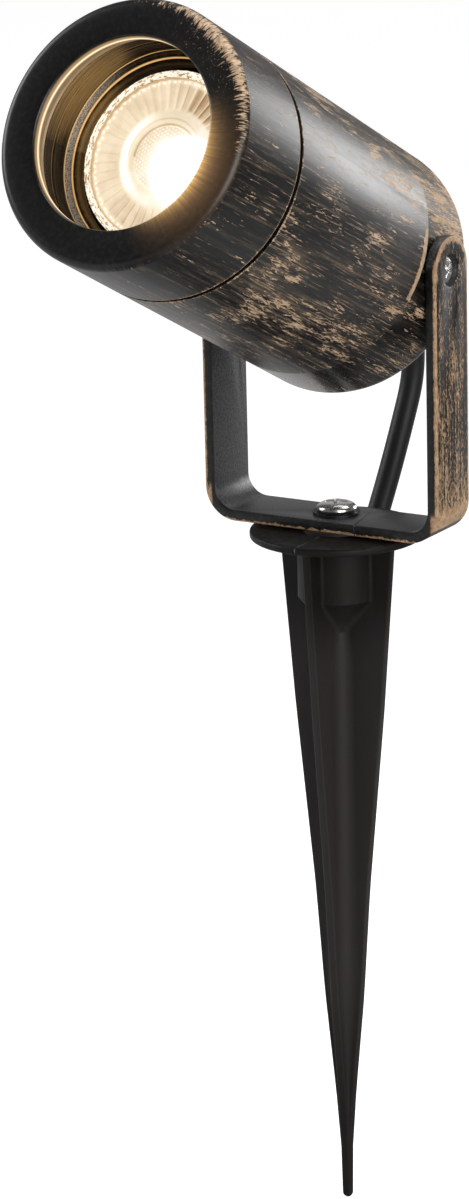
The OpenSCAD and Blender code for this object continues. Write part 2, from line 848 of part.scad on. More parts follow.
// Gland: washer, hexagon body, sealing ring, ribbed cap and inner locknut
module gland_washer() {
    color(rubber_c) in_head() translate([0, 0, gland_face + running / 2]) difference() {
        cylinder(r = gland_hex_r - washer_t, h = gland_washer_t - running);
        translate([0, 0, -overrun]) cylinder(r = gland_shank_r + running, h = gland_washer_t + 2 * overrun);
    }
}

module gland_body() {
    seal_from = gland_face - gland_hex_h - gland_neck_len;
    color(plastic_c) in_head() difference() {
        union() {
            translate([0, 0, gland_face - gland_hex_h]) cylinder(r = gland_hex_r, h = gland_hex_h, $fn = 6);
            translate([0, 0, gland_face - overrun])
                cylinder(r = gland_shank_r, h = cavity_back + gland_nut_h + overrun - gland_face);
            translate([0, 0, seal_from]) cylinder(r = gland_neck_r, h = gland_neck_len + overrun);
        }
        translate([0, 0, seal_from - overrun])
            cylinder(r = cord_r + running, h = 2 * head_r);
        translate([0, 0, seal_from - overrun])
            cylinder(r = cord_r + seal_wall + running, h = gland_neck_len + overrun);
    }
}

module gland_seal() {
    color(rubber_c) in_head() translate([0, 0, gland_exit + gland_cap_wall]) difference() {
        cylinder(r = cord_r + seal_wall, h = gland_cap_len - gland_cap_wall - running);
        translate([0, 0, -overrun]) cylinder(r = cord_r + running, h = gland_cap_len + overrun);
    }
}

module gland_cap() {
    high = gland_face - gland_hex_h - running;
    color(plastic_c) in_head() difference() {
        union() {
            rotate_extrude() polygon([
                [0, gland_exit], [gland_cap_tip_r - gland_cap_wall / 2, gland_exit],
                [gland_cap_tip_r, gland_exit + gland_cap_wall / 2],
                [mix(gland_cap_tip_r, gland_cap_r, 0.8), mix(gland_exit, high, 0.42)],
                [gland_cap_r, mix(gland_exit, high, 0.55)], [gland_cap_r, high], [0, high]
            ]);
            for (k = [0:gland_ribs - 1]) rotate([0, 0, 360 / gland_ribs * k])
                translate([gland_cap_r, 0, mix(gland_exit, high, 0.6)])
                    cylinder(r = gland_rib_r, h = (high - gland_exit) * 0.4, $fn = 16);
        }
        translate([0, 0, gland_exit - overrun]) cylinder(r = cord_r + running, h = 2 * head_r);
        translate([0, 0, gland_exit + gland_cap_wall - running])
            cylinder(r = cord_r + seal_wall + running, h = gland_cap_len);
        translate([0, 0, gland_face - gland_hex_h - gland_neck_len - 2 * running])
            cylinder(r = gland_neck_r + running, h = gland_cap_len);
    }
}

module gland_locknut() {
    color(plastic_c) in_head() translate([0, 0, cavity_back + running]) difference() {
        cylinder(r = gland_hex_r - washer_t / 2, h = gland_nut_h - 2 * running, $fn = 6);
        translate([0, 0, -overrun]) cylinder(r = gland_shank_r + running, h = gland_nut_h + 2 * overrun);
    }
}

module cord_entry() {
    color(rubber_c) in_head() translate([0, 0, gland_exit])
        cylinder(r = cord_r, h = entry_end - gland_exit);
}

// Free stretch of the cord, from the gland to the coil
function head_point(z) = [0, -z * cos(head_tilt), pivot_h + z * sin(head_tilt)];
exit_lead = [for (k = [0:2]) head_point(gland_exit - cord_lead * k / 2)];
coil_centre = coil_away * (coil_near + coil_out_r) + coil_up * coil_centre_z;
coil_start = coil_point(0) + coil_up * cord_d;
coil_lead = [for (k = [2:-1:0]) coil_start + coil_up * cord_lead * k / 2];
free_path = smooth(concat(exit_lead, cord_route, coil_lead), cord_steps);

module supply_cord() {
    color(rubber_c) tube(free_path, cord_r, cord_sides, coil_side);
}

// Coil: four turns in two layers, in and out again, one unbroken tube
function climb(t) = let (s = min(max(2 * (t - coil_turns / 2) + 0.5, 0), 1)) 0.5 - s * s * (3 - 2 * s);
function coil_radius(t) = coil_out_r - coil_pitch * min(t, coil_turns - t);
function coil_point(t) = let (turn = 360 * (t + 1 / 2))
    coil_centre + coil_radius(t) * (cos(turn) * coil_away + sin(turn) * coil_up)
    + coil_pitch * climb(t) * coil_side;
coil_wound = [for (k = [0:coil_turns * coil_rings]) coil_point(k / coil_rings)];
coil_end = coil_wound[len(coil_wound) - 1] - coil_up * cord_d;
coil_path = concat([coil_start], coil_wound, [coil_end]);
coil_gap = min([for (i = [0:coil_rings * coil_turns]) for (j = [i + coil_rings / 2:coil_rings * coil_turns])
    norm(coil_wound[i] - coil_wound[j])]) - cord_d;
echo("Least gap of the coil to itself, in mm", coil_gap);

module cord_coil() {
    color(rubber_c) tube(coil_path, cord_r, coil_sides, coil_side);
}

// Tie round the four runs at the bottom of the coil
tie_at = 0.25;
module tie_outline(r) {
    hull() for (k = [0:coil_turns - 1])
        translate([coil_pitch * climb(k + tie_at), -coil_radius(k + tie_at)]) circle(r, $fn = 32);
}

module coil_tie() {
    color(black_c) translate(coil_centre) rotate([0, 0, coil_yaw]) rotate([90, 0, 0])
        translate([0, 0, -tie_w / 2]) linear_extrude(tie_w) difference() {
            tie_outline(cord_r + tie_gap + tie_t);
            tie_outline(cord_r + tie_gap);
        }
}

// Bare cores at the far end of the cord
function core_place(k) = core_ring * (cos(120 * k) * coil_side + sin(120 * k) * coil_away);
function core_path(k) = let (from = coil_end + core_place(k), out = unit(core_place(k)) * core_spread)
    smooth([from - coil_up * running, from - coil_up * core_len / 4,
        from + out * 0.4 - coil_up * core_len * 0.6, from + out - coil_up * core_len], 3);
function core_tip(k) = let (p = core_path(k)) p[len(p) - 1];
function core_heading(k) = let (p = core_path(k)) heading(p, len(p) - 1);

module core(k) {
    tube(core_path(k), core_r, 8, coil_side);
}

module core_brown() {
    color(brown_c) core(0);
}

module core_blue() {
    color(blue_c) core(1);
}

module core_earth() {
    color(earth_c) core(2);
}

module core_strands() {
    color(copper_c) for (k = [0:2])
        tube([core_tip(k) + core_heading(k) * running, core_tip(k) + core_heading(k) * core_bare],
            strand_r, 8, coil_side);
}

spike();
spike_insert();
pan_washer();
base_screw();
base_washer();
bracket();
pivot_screws();
rear_housing();
front_bezel();
bezel_o_ring();
lens_glass();
lens_gasket();
lens_sleeve();
lamp_body();
lamp_lens();
lamp_pins();
lamp_holder();
holder_contacts();
holder_screws();
holder_bridge();
bridge_screws();
terminal_block();
terminal_screws();
block_screws();
earth_screw();
live_wire();
neutral_wire();
earth_wire();
holder_leads();
cord_entry();
gland_body();
gland_seal();
gland_cap();
gland_locknut();
gland_washer();
supply_cord();
cord_coil();
coil_tie();
core_brown();
core_blue();
core_earth();
core_strands();
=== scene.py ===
"""Finishes and modelled pieces of a garden spike spotlight, laid out as an add-on."""

import json
import math

import bmesh
import bpy
from bpy.props import FloatProperty, FloatVectorProperty, IntProperty, PointerProperty
from mathutils import Matrix, Vector, noise as field


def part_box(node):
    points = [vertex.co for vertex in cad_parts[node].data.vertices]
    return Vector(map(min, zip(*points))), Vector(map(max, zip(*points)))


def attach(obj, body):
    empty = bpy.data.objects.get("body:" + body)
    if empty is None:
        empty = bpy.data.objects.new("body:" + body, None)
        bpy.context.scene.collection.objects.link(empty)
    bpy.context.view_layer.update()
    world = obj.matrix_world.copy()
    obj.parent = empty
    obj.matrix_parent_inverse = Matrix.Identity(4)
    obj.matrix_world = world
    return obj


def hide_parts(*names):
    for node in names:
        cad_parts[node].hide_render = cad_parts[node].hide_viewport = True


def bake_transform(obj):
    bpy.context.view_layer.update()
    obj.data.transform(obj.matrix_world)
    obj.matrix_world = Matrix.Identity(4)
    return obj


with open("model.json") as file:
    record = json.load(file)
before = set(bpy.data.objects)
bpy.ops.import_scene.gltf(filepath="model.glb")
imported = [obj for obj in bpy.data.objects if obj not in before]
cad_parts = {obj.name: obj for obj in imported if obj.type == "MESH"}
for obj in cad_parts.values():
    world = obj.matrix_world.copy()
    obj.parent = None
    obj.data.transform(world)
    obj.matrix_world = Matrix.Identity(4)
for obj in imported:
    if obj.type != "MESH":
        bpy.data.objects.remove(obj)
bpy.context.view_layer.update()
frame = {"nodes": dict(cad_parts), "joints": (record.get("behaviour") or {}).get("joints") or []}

bl_info = {
    "name": "Garden Spike Spotlight",
    "version": (1, 0, 0),
    "blender": (4, 5, 0),
    "location": "View3D > Sidebar > Spotlight",
    "description": "Builds a tilting garden spotlight on its ground spike, finish by finish",
    "category": "Add Mesh",
}

# The head's own frame: z runs forward along its axis, y up and x to the right
joints = {joint["name"]: joint for joint in frame["joints"]}
pivot = Vector(joints["head_tilt"]["pos_m"])
head_axis = Vector(joints["lens_travel"]["axis"]).normalized()
head_turn = math.atan2(-head_axis.y, head_axis.z)
in_head = Matrix.Translation(pivot) @ Matrix.Rotation(head_turn, 4, "X")
from_head = in_head.inverted()


def head_points(node):
    """The corners of a CAD node's mesh in the head's frame."""
    return [from_head @ v.co for v in frame["nodes"][node].data.vertices]


def head_span(node):
    """How far back and how far forward a node reaches along the head's axis."""
    along = [p.z for p in head_points(node)]
    return min(along), max(along)


def head_radius(node):
    """The largest distance of a node from the head's axis."""
    return max(math.hypot(p.x, p.y) for p in head_points(node))


MM = 0.001
head_r = head_radius("front_bezel")
bezel_back, bezel_front = head_span("front_bezel")
housing_back, spigot_end = head_span("rear_housing")
glass_back, glass_front = head_span("lens_glass")
glass_r = head_radius("lens_glass")
gasket_back, gasket_front = head_span("lens_gasket")
gasket_r = head_radius("lens_gasket")
lamp_back, lamp_front = head_span("lamp_lens")
lamp_r = head_radius("lamp_lens")
sleeve_back, sleeve_front = head_span("lens_sleeve")
bracket_low, bracket_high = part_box("bracket")
spike_low, spike_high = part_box("spike")
flange_top = spike_high.z


def length_setting(name, description, default):
    return FloatProperty(name=name, description=description, default=default, unit="LENGTH")


def angle_setting(name, description, degrees):
    return FloatProperty(name=name, description=description, default=math.radians(degrees), subtype="ANGLE")


def colour_setting(name, description, *default):
    return FloatVectorProperty(name=name, description=description, default=default, subtype="COLOR")


class CameraSizes(bpy.types.PropertyGroup):
    """Where the photograph was taken from."""

    azimuth: angle_setting("Azimuth", "Turn round the object", 31.078)
    elevation: angle_setting("Elevation", "Height above the horizon", 15.855)
    roll: angle_setting("Roll", "Turn round the line of sight", -1.362)
    distance: length_setting("Distance", "From the camera to its target", 1.27677)
    across: length_setting("Across", "Shift of the target to the right", -0.030925)
    height: length_setting("Height", "Height of the target", -0.019279)
    lens: FloatProperty(name="Lens", description="Focal length for a picture 36 mm high", default=128.346)


class CordSizes(bpy.types.PropertyGroup):
    """The supply cord and its coil."""

    diameter: length_setting("Diameter", "Outer diameter", 0.007)
    pitch: length_setting("Pitch", "From one turn of the coil to the next", 0.0075)
    coil_radius: length_setting("Coil radius", "Middle of the outer turn", 0.0432)
    coil_near: length_setting("Coil clearance", "From the spike's axis to the coil's near side", 0.028)
    coil_height: length_setting("Coil height", "Height of the coil's middle", -0.06)
    turns: IntProperty(name="Turns", description="Turns of the coil", default=4)


class HeadSizes(bpy.types.PropertyGroup):
    """The lamp head."""

    front_round: length_setting("Front round", "Rounding of the bezel's front edge", 0.0026)
    back_round: length_setting("Back round", "Rounding of the housing's rear edge", 0.0065)
    rim: length_setting("Rim", "Width of the rim round the opening", 0.011)
    groove: length_setting("Groove", "Depth of the groove behind the bezel", 0.0016)
    flat_x: length_setting("Flats", "From the axis to a side flat", 0.0356)
    flat_front: length_setting("Flat end", "From the pivot to the front of a flat", 0.0145)


class FinishColours(bpy.types.PropertyGroup):
    """The colours of the finishes."""

    black: colour_setting("Black", "Satin black paint", 0.004, 0.0036, 0.0034)
    bronze: colour_setting("Bronze", "Dry brushed bronze", 0.5, 0.335, 0.2)
    plastic: colour_setting("Plastic", "Moulded nylon of the spike", 0.006, 0.0052, 0.0044)
    rubber: colour_setting("Rubber", "Sheath of the cord", 0.009, 0.009, 0.009)
    zinc: colour_setting("Zinc", "Bright zinc of the screws", 0.72, 0.71, 0.67)


# Helpers for meshes


def deselect():
    """Leaves nothing selected and no object in edit mode."""
    if bpy.context.mode != "OBJECT":
        bpy.ops.object.mode_set(mode="OBJECT")
    bpy.ops.object.select_all(action="DESELECT")


def only(obj):
    """Selects one object and makes it the active one."""
    deselect()
    obj.select_set(True)
    bpy.context.view_layer.objects.active = obj
    return obj


def named(name):
    """Names the object that was just added, and its mesh."""
    obj = bpy.context.active_object
    obj.name = obj.data.name = name
    return obj


def settle(obj, place=None):
    """Puts the object's place into its mesh, and moves the mesh by a matrix."""
    only(obj)
    bpy.ops.object.transform_apply(location=True, rotation=True, scale=True)
    if place is not None:
        obj.data.transform(place)
    return obj


def smooth(obj, degrees=32):
    """Smooth shading, with edges sharper than the angle kept."""
    only(obj)
    bpy.ops.object.shade_smooth_by_angle(angle=math.radians(degrees))
    return obj


def modify(obj, kind, **values):
    """Adds a modifier with its values, and applies it."""
    only(obj)
    modifier = obj.modifiers.new(kind.title(), kind)
    for name, value in values.items():
        setattr(modifier, name, value)
    bpy.ops.object.modifier_apply(modifier=modifier.name)
    return obj


def bevel(obj, width, degrees=30, segments=2):
    """Rounds the edges that are sharper than an angle."""
    return modify(obj, "BEVEL", width=width, segments=segments, limit_method="ANGLE",
                  angle_limit=math.radians(degrees))


def joined(name, pieces):
    """Joins pieces to one object with a name."""
    only(pieces[0])
    for piece in pieces:
        piece.select_set(True)
    bpy.ops.object.join()
    return named(name)


def pick(obj, test, kind="FACE"):
    """In edit mode, selects the faces, edges or vertices that pass a test."""
    bpy.ops.mesh.select_mode(type=kind)
    bpy.ops.mesh.select_all(action="DESELECT")
    mesh = bmesh.from_edit_mesh(obj.data)
    for item in {"FACE": mesh.faces, "EDGE": mesh.edges, "VERT": mesh.verts}[kind]:
        item.select_set(bool(test(item)))
    mesh.select_flush_mode()
    bmesh.update_edit_mesh(obj.data)


def arc(x, y, r, start, end, steps=6):
    """Points of an arc in a profile, its angles in degrees."""
    turn = [math.radians(start + (end - start) * k / steps) for k in range(steps + 1)]
    return [(x + r * math.cos(a), y + r * math.sin(a)) for a in turn]


def turned(name, profile, steps=128, closed=True, place=in_head):
    """A piece turned on the lathe: a profile of (radius, height) points spun round z."""
    deselect()
    bpy.ops.mesh.primitive_plane_add(size=head_r, location=(0, 0, 0))
    obj = named(name)
    bpy.ops.object.mode_set(mode="EDIT")
    pick(obj, lambda v: v.index > 0, "VERT")
    bpy.ops.mesh.delete(type="VERT")
    bpy.ops.mesh.select_all(action="SELECT")
    first = bmesh.from_edit_mesh(obj.data).verts[:][0].co.copy()
    bpy.ops.transform.translate(value=Vector((profile[0][0], 0, profile[0][1])) - first)
    for (r0, z0), (r1, z1) in zip(profile, profile[1:]):
        bpy.ops.mesh.extrude_region_move(TRANSFORM_OT_translate={"value": (r1 - r0, 0, z1 - z0)})
    if closed:
        bpy.ops.mesh.select_all(action="SELECT")
        pick(obj, lambda v: len(v.link_edges) == 1, "VERT")
        bpy.ops.mesh.edge_face_add()
    bpy.ops.mesh.select_all(action="SELECT")
    bpy.ops.mesh.spin(steps=steps, angle=2 * math.pi, center=(0, 0, 0), axis=(0, 0, 1))
    bpy.ops.mesh.select_all(action="SELECT")
    bpy.ops.mesh.remove_doubles(threshold=0.002 * MM)
    bpy.ops.mesh.normals_make_consistent(inside=False)
    bpy.ops.object.mode_set(mode="OBJECT")
    return smooth(settle(obj, place))


def cut(obj, *tools):
    """Cuts an object with others, which are used up."""
    for tool in tools:
        modify(obj, "BOOLEAN", object=tool, operation="DIFFERENCE", solver="EXACT")
        bpy.data.objects.remove(tool)
    return obj


def block(name, low, high, place=None):
    """A plain box between two corners, as a cutter or the start of a piece."""
    deselect()
    low, high = Vector(low), Vector(high)
    bpy.ops.mesh.primitive_cube_add(size=1, location=(low + high) / 2)
    obj = named(name)
    obj.scale = high - low
    return settle(obj, place)


def rod(name, r, length, centre, axis=(0, 0, 1)):
    """A cylinder along an axis, as a cutter."""
    deselect()
    turn = Vector((0, 0, 1)).rotation_difference(Vector(axis)).to_euler()
    bpy.ops.mesh.primitive_cone_add(vertices=64, radius1=r, radius2=r, depth=length, location=centre,
                                    rotation=turn)
    return settle(named(name))


def tube(name, points, r, sides=16):
    """A round tube along points, from a curve with a round bevel."""
    deselect()
    bpy.ops.curve.primitive_bezier_curve_add(location=(0, 0, 0))
    curve = bpy.context.active_object
    curve.name = name
    data = curve.data
    data.splines.clear()
    spline = data.splines.new("POLY")
    spline.points.add(len(points) - 1)
    for item, point in zip(spline.points, points):
        item.co = (*point, 1)
    data.bevel_depth = r
    data.bevel_resolution = sides // 4 - 1
    data.use_fill_caps = True
    only(curve)
    bpy.ops.object.convert(target="MESH")
    return smooth(named(name), 50)


def copy_of(node, name):
    """A merged copy of a CAD node's mesh, ready for modifiers."""
    obj = bpy.data.objects.new(name, frame["nodes"][node].data.copy())
    obj.data.name = name
    bpy.context.scene.collection.objects.link(obj)
    only(obj)
    bpy.ops.mesh.customdata_custom_splitnormals_clear()
    bpy.ops.object.mode_set(mode="EDIT")
    bpy.ops.mesh.select_all(action="SELECT")
    bpy.ops.mesh.remove_doubles(threshold=0.002 * MM)
    bpy.ops.object.mode_set(mode="OBJECT")
    return obj


def dress(obj, material, slot, body=None, *nodes):
    """Gives a piece its material, and makes it ride and stand for CAD nodes. The slot is not used."""
    obj.data.materials.clear()
    obj.data.materials.append(material)
    if body:
        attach(obj, body)
    if nodes:
        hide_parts(*nodes)
    return obj


def paint(nodes, material):
    """Gives CAD nodes a material in place of their plain one."""
    for name in nodes:
        data = frame["nodes"][name].data
        data.materials.clear()
        data.materials.append(material)


# Helpers for materials


class Value:
    """A number, place or colour that nodes work out, for plain arithmetic with it."""

    def __init__(self, nodes, socket):
        self.nodes, self.socket = nodes, socket

    def math(self, operation, *others):
        """A Math node with this value as its first."""
        return self.nodes.value("Math", 0, dict(enumerate([self, *others])), operation=operation)

    def __add__(self, other):
        return self.math("ADD", other)

    def __radd__(self, other):
        return self + other if other else self

    def __sub__(self, other):
        return self.math("SUBTRACT", other)

    def __rsub__(self, other):
        return self.nodes.value("Math", 0, {0: other, 1: self}, operation="SUBTRACT")

    def __mul__(self, other):
        return self.math("MULTIPLY", other)

    def __abs__(self):
        return self.math("ABSOLUTE")

    def step(self, low, high, to_low=0.0, to_high=1.0):
        """A soft step from one value to another."""
        limits = {"From Min": low, "From Max": high, "To Min": to_low, "To Max": to_high}
        return self.nodes.value("MapRange", "Result", {"Value": self, **limits},
                                interpolation_type="SMOOTHSTEP")

    def near(self, centre, width):
        """One at a centre, falling to zero at a width from it."""
        return abs(self - centre).step(0.0, width, 1.0, 0.0)

    def sector(self, centre, width):
        """The same for an angle, with degrees."""
        return self.near(math.radians(centre), math.radians(width))

    def mix(self, a, b):
        """Goes from one colour or place to another as this share goes from zero to one."""
        return self.nodes.value("Mix", 2, {"Factor": self, 6: a, 7: b}, data_type="RGBA")

    def split(self):
        """Its x, y and z."""
        made = self.nodes.node("SeparateXYZ", {0: self})
        return [Value(self.nodes, socket) for socket in made.outputs]

    def noise(self, size, detail=3.0, rough=0.55, turn=0.0, offset=(0, 0, 0), unit=MM):
        """Noise with grains of a size in mm, one for all axes or one for each, turned round z."""
        scale = [s * unit for s in (size if isinstance(size, tuple) else (size, size, size))]
        where = self.nodes.value("Mapping", 0, {"Vector": self, "Scale": scale, "Rotation": (0, 0, turn),
                                                "Location": offset}, vector_type="TEXTURE")
        return self.nodes.value("TexNoise", "Fac", {"Vector": where, "Scale": 1.0, "Detail": detail,
                                                    "Roughness": rough})


def highest(first, *others):
    """The largest of several values, of which the first is no plain number."""
    for other in others:
        first = first.math("MAXIMUM", other)
    return first


def distance(x, y):
    """How far a place is from the middle."""
    return (x * x + y * y).math("SQRT")


def scaled(colour, factor):
    """A colour made darker or lighter."""
    return tuple(c * factor for c in colour)


class Nodes:
    """The nodes of a material or a world."""

    def __init__(self, tree):
        self.tree = tree

    def feed(self, socket, value):
        """Links a value to a socket, or sets it there."""
        if isinstance(value, Value):
            self.tree.links.new(value.socket, socket)
        elif socket.type == "RGBA" and len(value) == 3:
            socket.default_value = (*value, 1)
        else:
            socket.default_value = value

    def node(self, kind, inputs=(), **values):
        """Adds a node with what feeds it and its settings."""
        made = self.tree.nodes.new("ShaderNode" + kind)
        for name, value in values.items():
            setattr(made, name, value)
        for key, value in dict(inputs).items():
            self.feed(made.inputs[key], value)
        return made

    def value(self, kind, output, inputs=(), **values):
        """What a new node puts out."""
        return Value(self, self.node(kind, inputs, **values).outputs[output])

    def vector(self, *parts):
        """Joins numbers to a place."""
        return self.value("CombineXYZ", 0, dict(enumerate(parts)))

    def rays(self):
        """One for what the camera sees, also through the glass, and one for what mirrors show."""
        path = self.node("LightPath").outputs
        seen, through_glass, mirrored = (Value(self, path[f"Is {kind} Ray"])
                                         for kind in ("Camera", "Transmission", "Glossy"))
        return highest(seen, through_glass), mirrored


class Finish(Nodes):
    """A material under construction."""

    def __init__(self, name, **sockets):
        self.material = bpy.data.materials.new(name)
        self.material.use_nodes = True
        super().__init__(self.material.node_tree)
        self.shader = self.tree.nodes["Principled BSDF"].inputs
        self.set(**sockets)
        self.place = self.value("TexCoord", "Object")

    def set(self, **sockets):
        """Sets or links sockets of the shader, with _ for a space in their names."""
        for name, value in sockets.items():
            self.feed(self.shader[name.replace("_", " ")], value)
        return self.material

    def fed(self, name):
        """What already feeds a socket of the shader."""
        return Value(self, self.shader[name].links[0].from_socket)

    def bump(self, height, depth):
        """Bumps with a depth in mm."""
        return self.set(Normal=self.value("Bump", "Normal", {"Height": height, "Distance": depth * MM,
                                                             "Strength": 1.0}))

    def to_head(self):
        """Moves its place to the head's frame. Gives x, y and z there, the angle round the axis, from
        the right side upwards, and the distance from it."""
        self.place = self.value("Mapping", 0, {"Vector": self.place, "Location": pivot,
                                               "Rotation": (head_turn, 0, 0)}, vector_type="TEXTURE")
        x, y, z = self.place.split()
        return x, y, z, y.math("ARCTAN2", x), distance(x, y)

    def unrolled(self, angle, radius, z):
        """The head's skin laid flat: x round it, y along it and over its ends, z outwards."""
        return self.vector(angle * head_r, z + radius - head_r, radius)


def brushed(vector, density, seed):
    """Mask of dry brushed paint: patches, chips, flecks and hairs along the vector's y axis."""
    grain = vector.noise((0.3, 3.2, 0.3), 2.0, 0.6, 0.06) - 0.5
    layers = [
        # grain across and along in mm, turn, threshold, share of the fine grain
        (2.8, 18.0, 0.05, 0.69, 0.8),
        (1.2, 10.0, -0.08, 0.70, 0.55),
        (0.65, 5.5, 0.26, 0.715, 0.2),
        (0.6, 4.8, -0.24, 0.72, 0.2),
        (0.42, 6.0, 0.03, 0.70, 0.0),
    ]
    masks = []
    for k, (across, along, turn, level, rough) in enumerate(layers):
        marks = vector.noise((across, along, across), 1.5, 0.55, turn, (seed + 0.031 * k, 0.017 * k, 0.0))
        total = marks + grain * rough + density * 0.11
        masks.append(total.step(level - 0.02, level + 0.025))
    hairs = vector.noise((0.36, 12, 0.36), 2.0, 0.6, 0.02, (seed, 0, 0))
    faint = (hairs + density * 0.06).step(0.57, 0.7) * 0.6
    veil = vector.noise((1.3, 34, 1.3), 3.0, 0.65, 0.03, (seed, 0.02, 0))
    veil = (veil + density * 0.06).step(0.45, 0.75) * 0.26
    return highest(*masks, faint, veil)


def bronze_on_black(finish, mask, vector, gain=1.3, depth=1.0):
    """Satin black paint with bronze brushed over it where the mask says."""
    colours = bpy.context.scene.spot_colours
    shade = vector.noise(1.6)
    dark = tuple(c ** depth for c in colours.bronze)
    light = tuple((c * gain) ** 0.85 for c in dark)
    bronze = shade.step(0.35, 0.7).mix(dark, light)
    cloud = vector.noise((1.6, 30, 1.6), 3.0, 0.65)
    black = cloud.step(0.42, 0.7).mix(colours.black, scaled(colours.black, 4.5))
    finish.set(Base_Color=mask.mix(black, bronze), Metallic=0.0, Specular_IOR_Level=0.5,
               Roughness=mask.step(0, 1, 0.36, 0.52))
    peel = vector.noise(0.7, 2.0)
    finish.bump(mask * 0.5 + peel * 0.3, 0.05)


def housing_paint():
    """Bronze strokes along the housing, densest on the lower right and on its edges; the lower part of each
    side flat is kept black as painted shade.
    """
    finish = Finish("brushed_bronze_housing")
    sizes = bpy.context.scene.spot_head
    x, y, z, angle, radius = finish.to_head()
    skin = z.step(housing_back + 0.8 * MM, housing_back + 0.2 * MM).mix(finish.unrolled(angle, radius, z),
                                                                        finish.place)
    aside = abs(x)
    patches = skin.noise((11, 22, 11), 2.0, 0.5, 0.0, (0.02, 0.01, 0))
    density = (patches - 0.5) * 4.2 - 0.4
    lower_right = angle.sector(-42, 26)
    upper_right = angle.sector(45, 42)
    rear = z.step(housing_back + 30 * MM, housing_back + 6 * MM)
    crest = (aside.near(sizes.flat_x, 1.3 * MM) * radius.step(head_r - 0.9 * MM, head_r - 0.2 * MM)
             * z.step(sizes.flat_front + MM, sizes.flat_front))
    above = y.step(6 * MM, 7.5 * MM)
    flat_edge = (z.near(sizes.flat_front + 0.6 * MM, 2.0 * MM)
                 * aside.step(sizes.flat_x - 0.1 * MM, sizes.flat_x + 0.15 * MM) * y.step(9 * MM, 6 * MM))
    groove = radius.step(head_r - 0.2 * MM, head_r - 0.45 * MM)
    lip = z.near(bezel_back - 1.9 * MM, 0.5 * MM)
    on_flat = (z.step(sizes.flat_front, sizes.flat_front - 0.4 * MM)
               * aside.step(sizes.flat_x + 0.2 * MM, sizes.flat_x))
    # On a side flat, less bronze below a height of 6 to 7.5 mm as painted shade, and more bronze above it
    density = (density + lower_right * 0.35 + upper_right * 0.45 + rear * 0.45 + crest * 0.9
               + flat_edge * 5.5 + lip * 1.2 + on_flat * above.step(0, 1, -0.6, 0.2)
               - groove * z.step(0.0, bezel_back - 4 * MM) * 6.0)
    bronze_on_black(finish, brushed(skin, density, 0.1), skin)
    rough = finish.fed("Roughness")
    return finish.set(Roughness=rough + on_flat * above.step(0, 1, -0.14, 0.14))


# The bezel's opening, and where on its face the lamp's light shows most, in degrees
opening_r = head_r - 11 * MM
glow_at = -22


def bezel_paint():
    """Satin black with a band of bronze on the upper right edge and thin scratches, and the lamp's light
    painted on: a golden painted reflection on the bore and a painted glow with rays on the face near the
    opening.
    """
    finish = Finish("satin_black_bezel")
    _, _, z, angle, radius = finish.to_head()
    skin = finish.unrolled(angle, radius, z)
    side = radius.step(head_r - 0.5 * MM, head_r - 0.1 * MM)
    teeth = skin.noise((0.8, 40, 40), 2.0, 0.65)
    ragged = (teeth - 0.5) * (7 * MM)
    away = abs(angle - math.radians(46))
    reach = bezel_front - 2.2 * MM - ragged * 1.2 + away * (1.5 * MM)
    start = head_r - 3.4 * MM + ragged * 1.9 + away * (3.0 * MM)
    upper_right = (angle.sector(36, 66) * 1.8).math("MINIMUM", 1.0)
    band = (z - reach).step(-0.4 * MM, 0.2 * MM) * (radius - start).step(-0.2 * MM, 0.4 * MM)
    speckle = skin.noise((0.62, 2.4, 1.2), 2.0, 0.65)
    full = upper_right * 0.24 + radius.near(head_r - 1.6 * MM, 1.8 * MM) * 0.1
    solid = band * (full + speckle).step(0.68, 0.72)
    edge = z.near(bezel_back + 0.2 * MM, 0.45 * MM) * speckle.step(0.36, 0.44)
    solid = highest(solid, side * edge * 0.9)
    dots = (skin.noise(0.5, 1.0, 0.5, 0.0, (0.3, 0, 0)).step(0.7, 0.72)
            * away.step(math.radians(30), math.radians(16))
            * radius.step(head_r - 10 * MM, head_r - 8 * MM))
    solid = highest(solid, dots)
    lip = z.near(bezel_back, 2 * MM)
    patches = skin.noise((12, 25, 12), 2.0)
    density = -1.75 + lip + patches * 1.7
    mask = highest(solid, side * brushed(skin, density, 0.7))
    # The bezel's bronze wear is lightened further as a painted highlight on its rounded edge
    bronze_on_black(finish, mask, skin, gain=1.8)
    rough = finish.fed("Roughness")
    flat_face = radius.step(head_r - 2 * MM, head_r - 4 * MM, 0.0, 0.08)
    finish.set(Roughness=rough - flat_face)
    # Painted lamp light: the bore wall glows golden as a painted reflection, brightest along a line
    bore = radius.step(head_r - 10.1 * MM, head_r - 10.9 * MM)
    deep = z.step(bezel_front - 1.2 * MM, bezel_front - 3.4 * MM)
    # Painted glow, sheen and flare rays of the lamp's light on the face, strongest near the opening
    rays = finish.vector(angle).noise(0.03, 2.0, 0.7, unit=1)
    arch = angle.sector(glow_at, 52)
    off = radius - opening_r
    close = (off * (-1 / (1.7 * MM))).math("EXPONENT")
    wide = (off * (-1 / (5.5 * MM))).math("EXPONENT")
    face = z.step(bezel_front - 2.6 * MM, bezel_front - 1.2 * MM)
    painted_face_glow = face * arch * (close * rays.step(0.3, 0.7, 0.5, 1.4) + wide * 0.24)
    gold = off.step(5 * MM, 0.5 * MM).mix((1.0, 0.55, 0.24), (1.0, 0.58, 0.2))
    line = z.near(bezel_front - 2.7 * MM, 0.9 * MM)
    tint = (bore * line).mix(gold, (1.0, 0.86, 0.6))
    inner = z.step(bezel_front - 0.4 * MM, bezel_front - 1.6 * MM) * 0.36 + line * 0.9 - deep * 0.18
    painted_glow = highest(bore * inner, painted_face_glow)
    return finish.set(Emission_Color=tint, Emission_Strength=painted_glow)


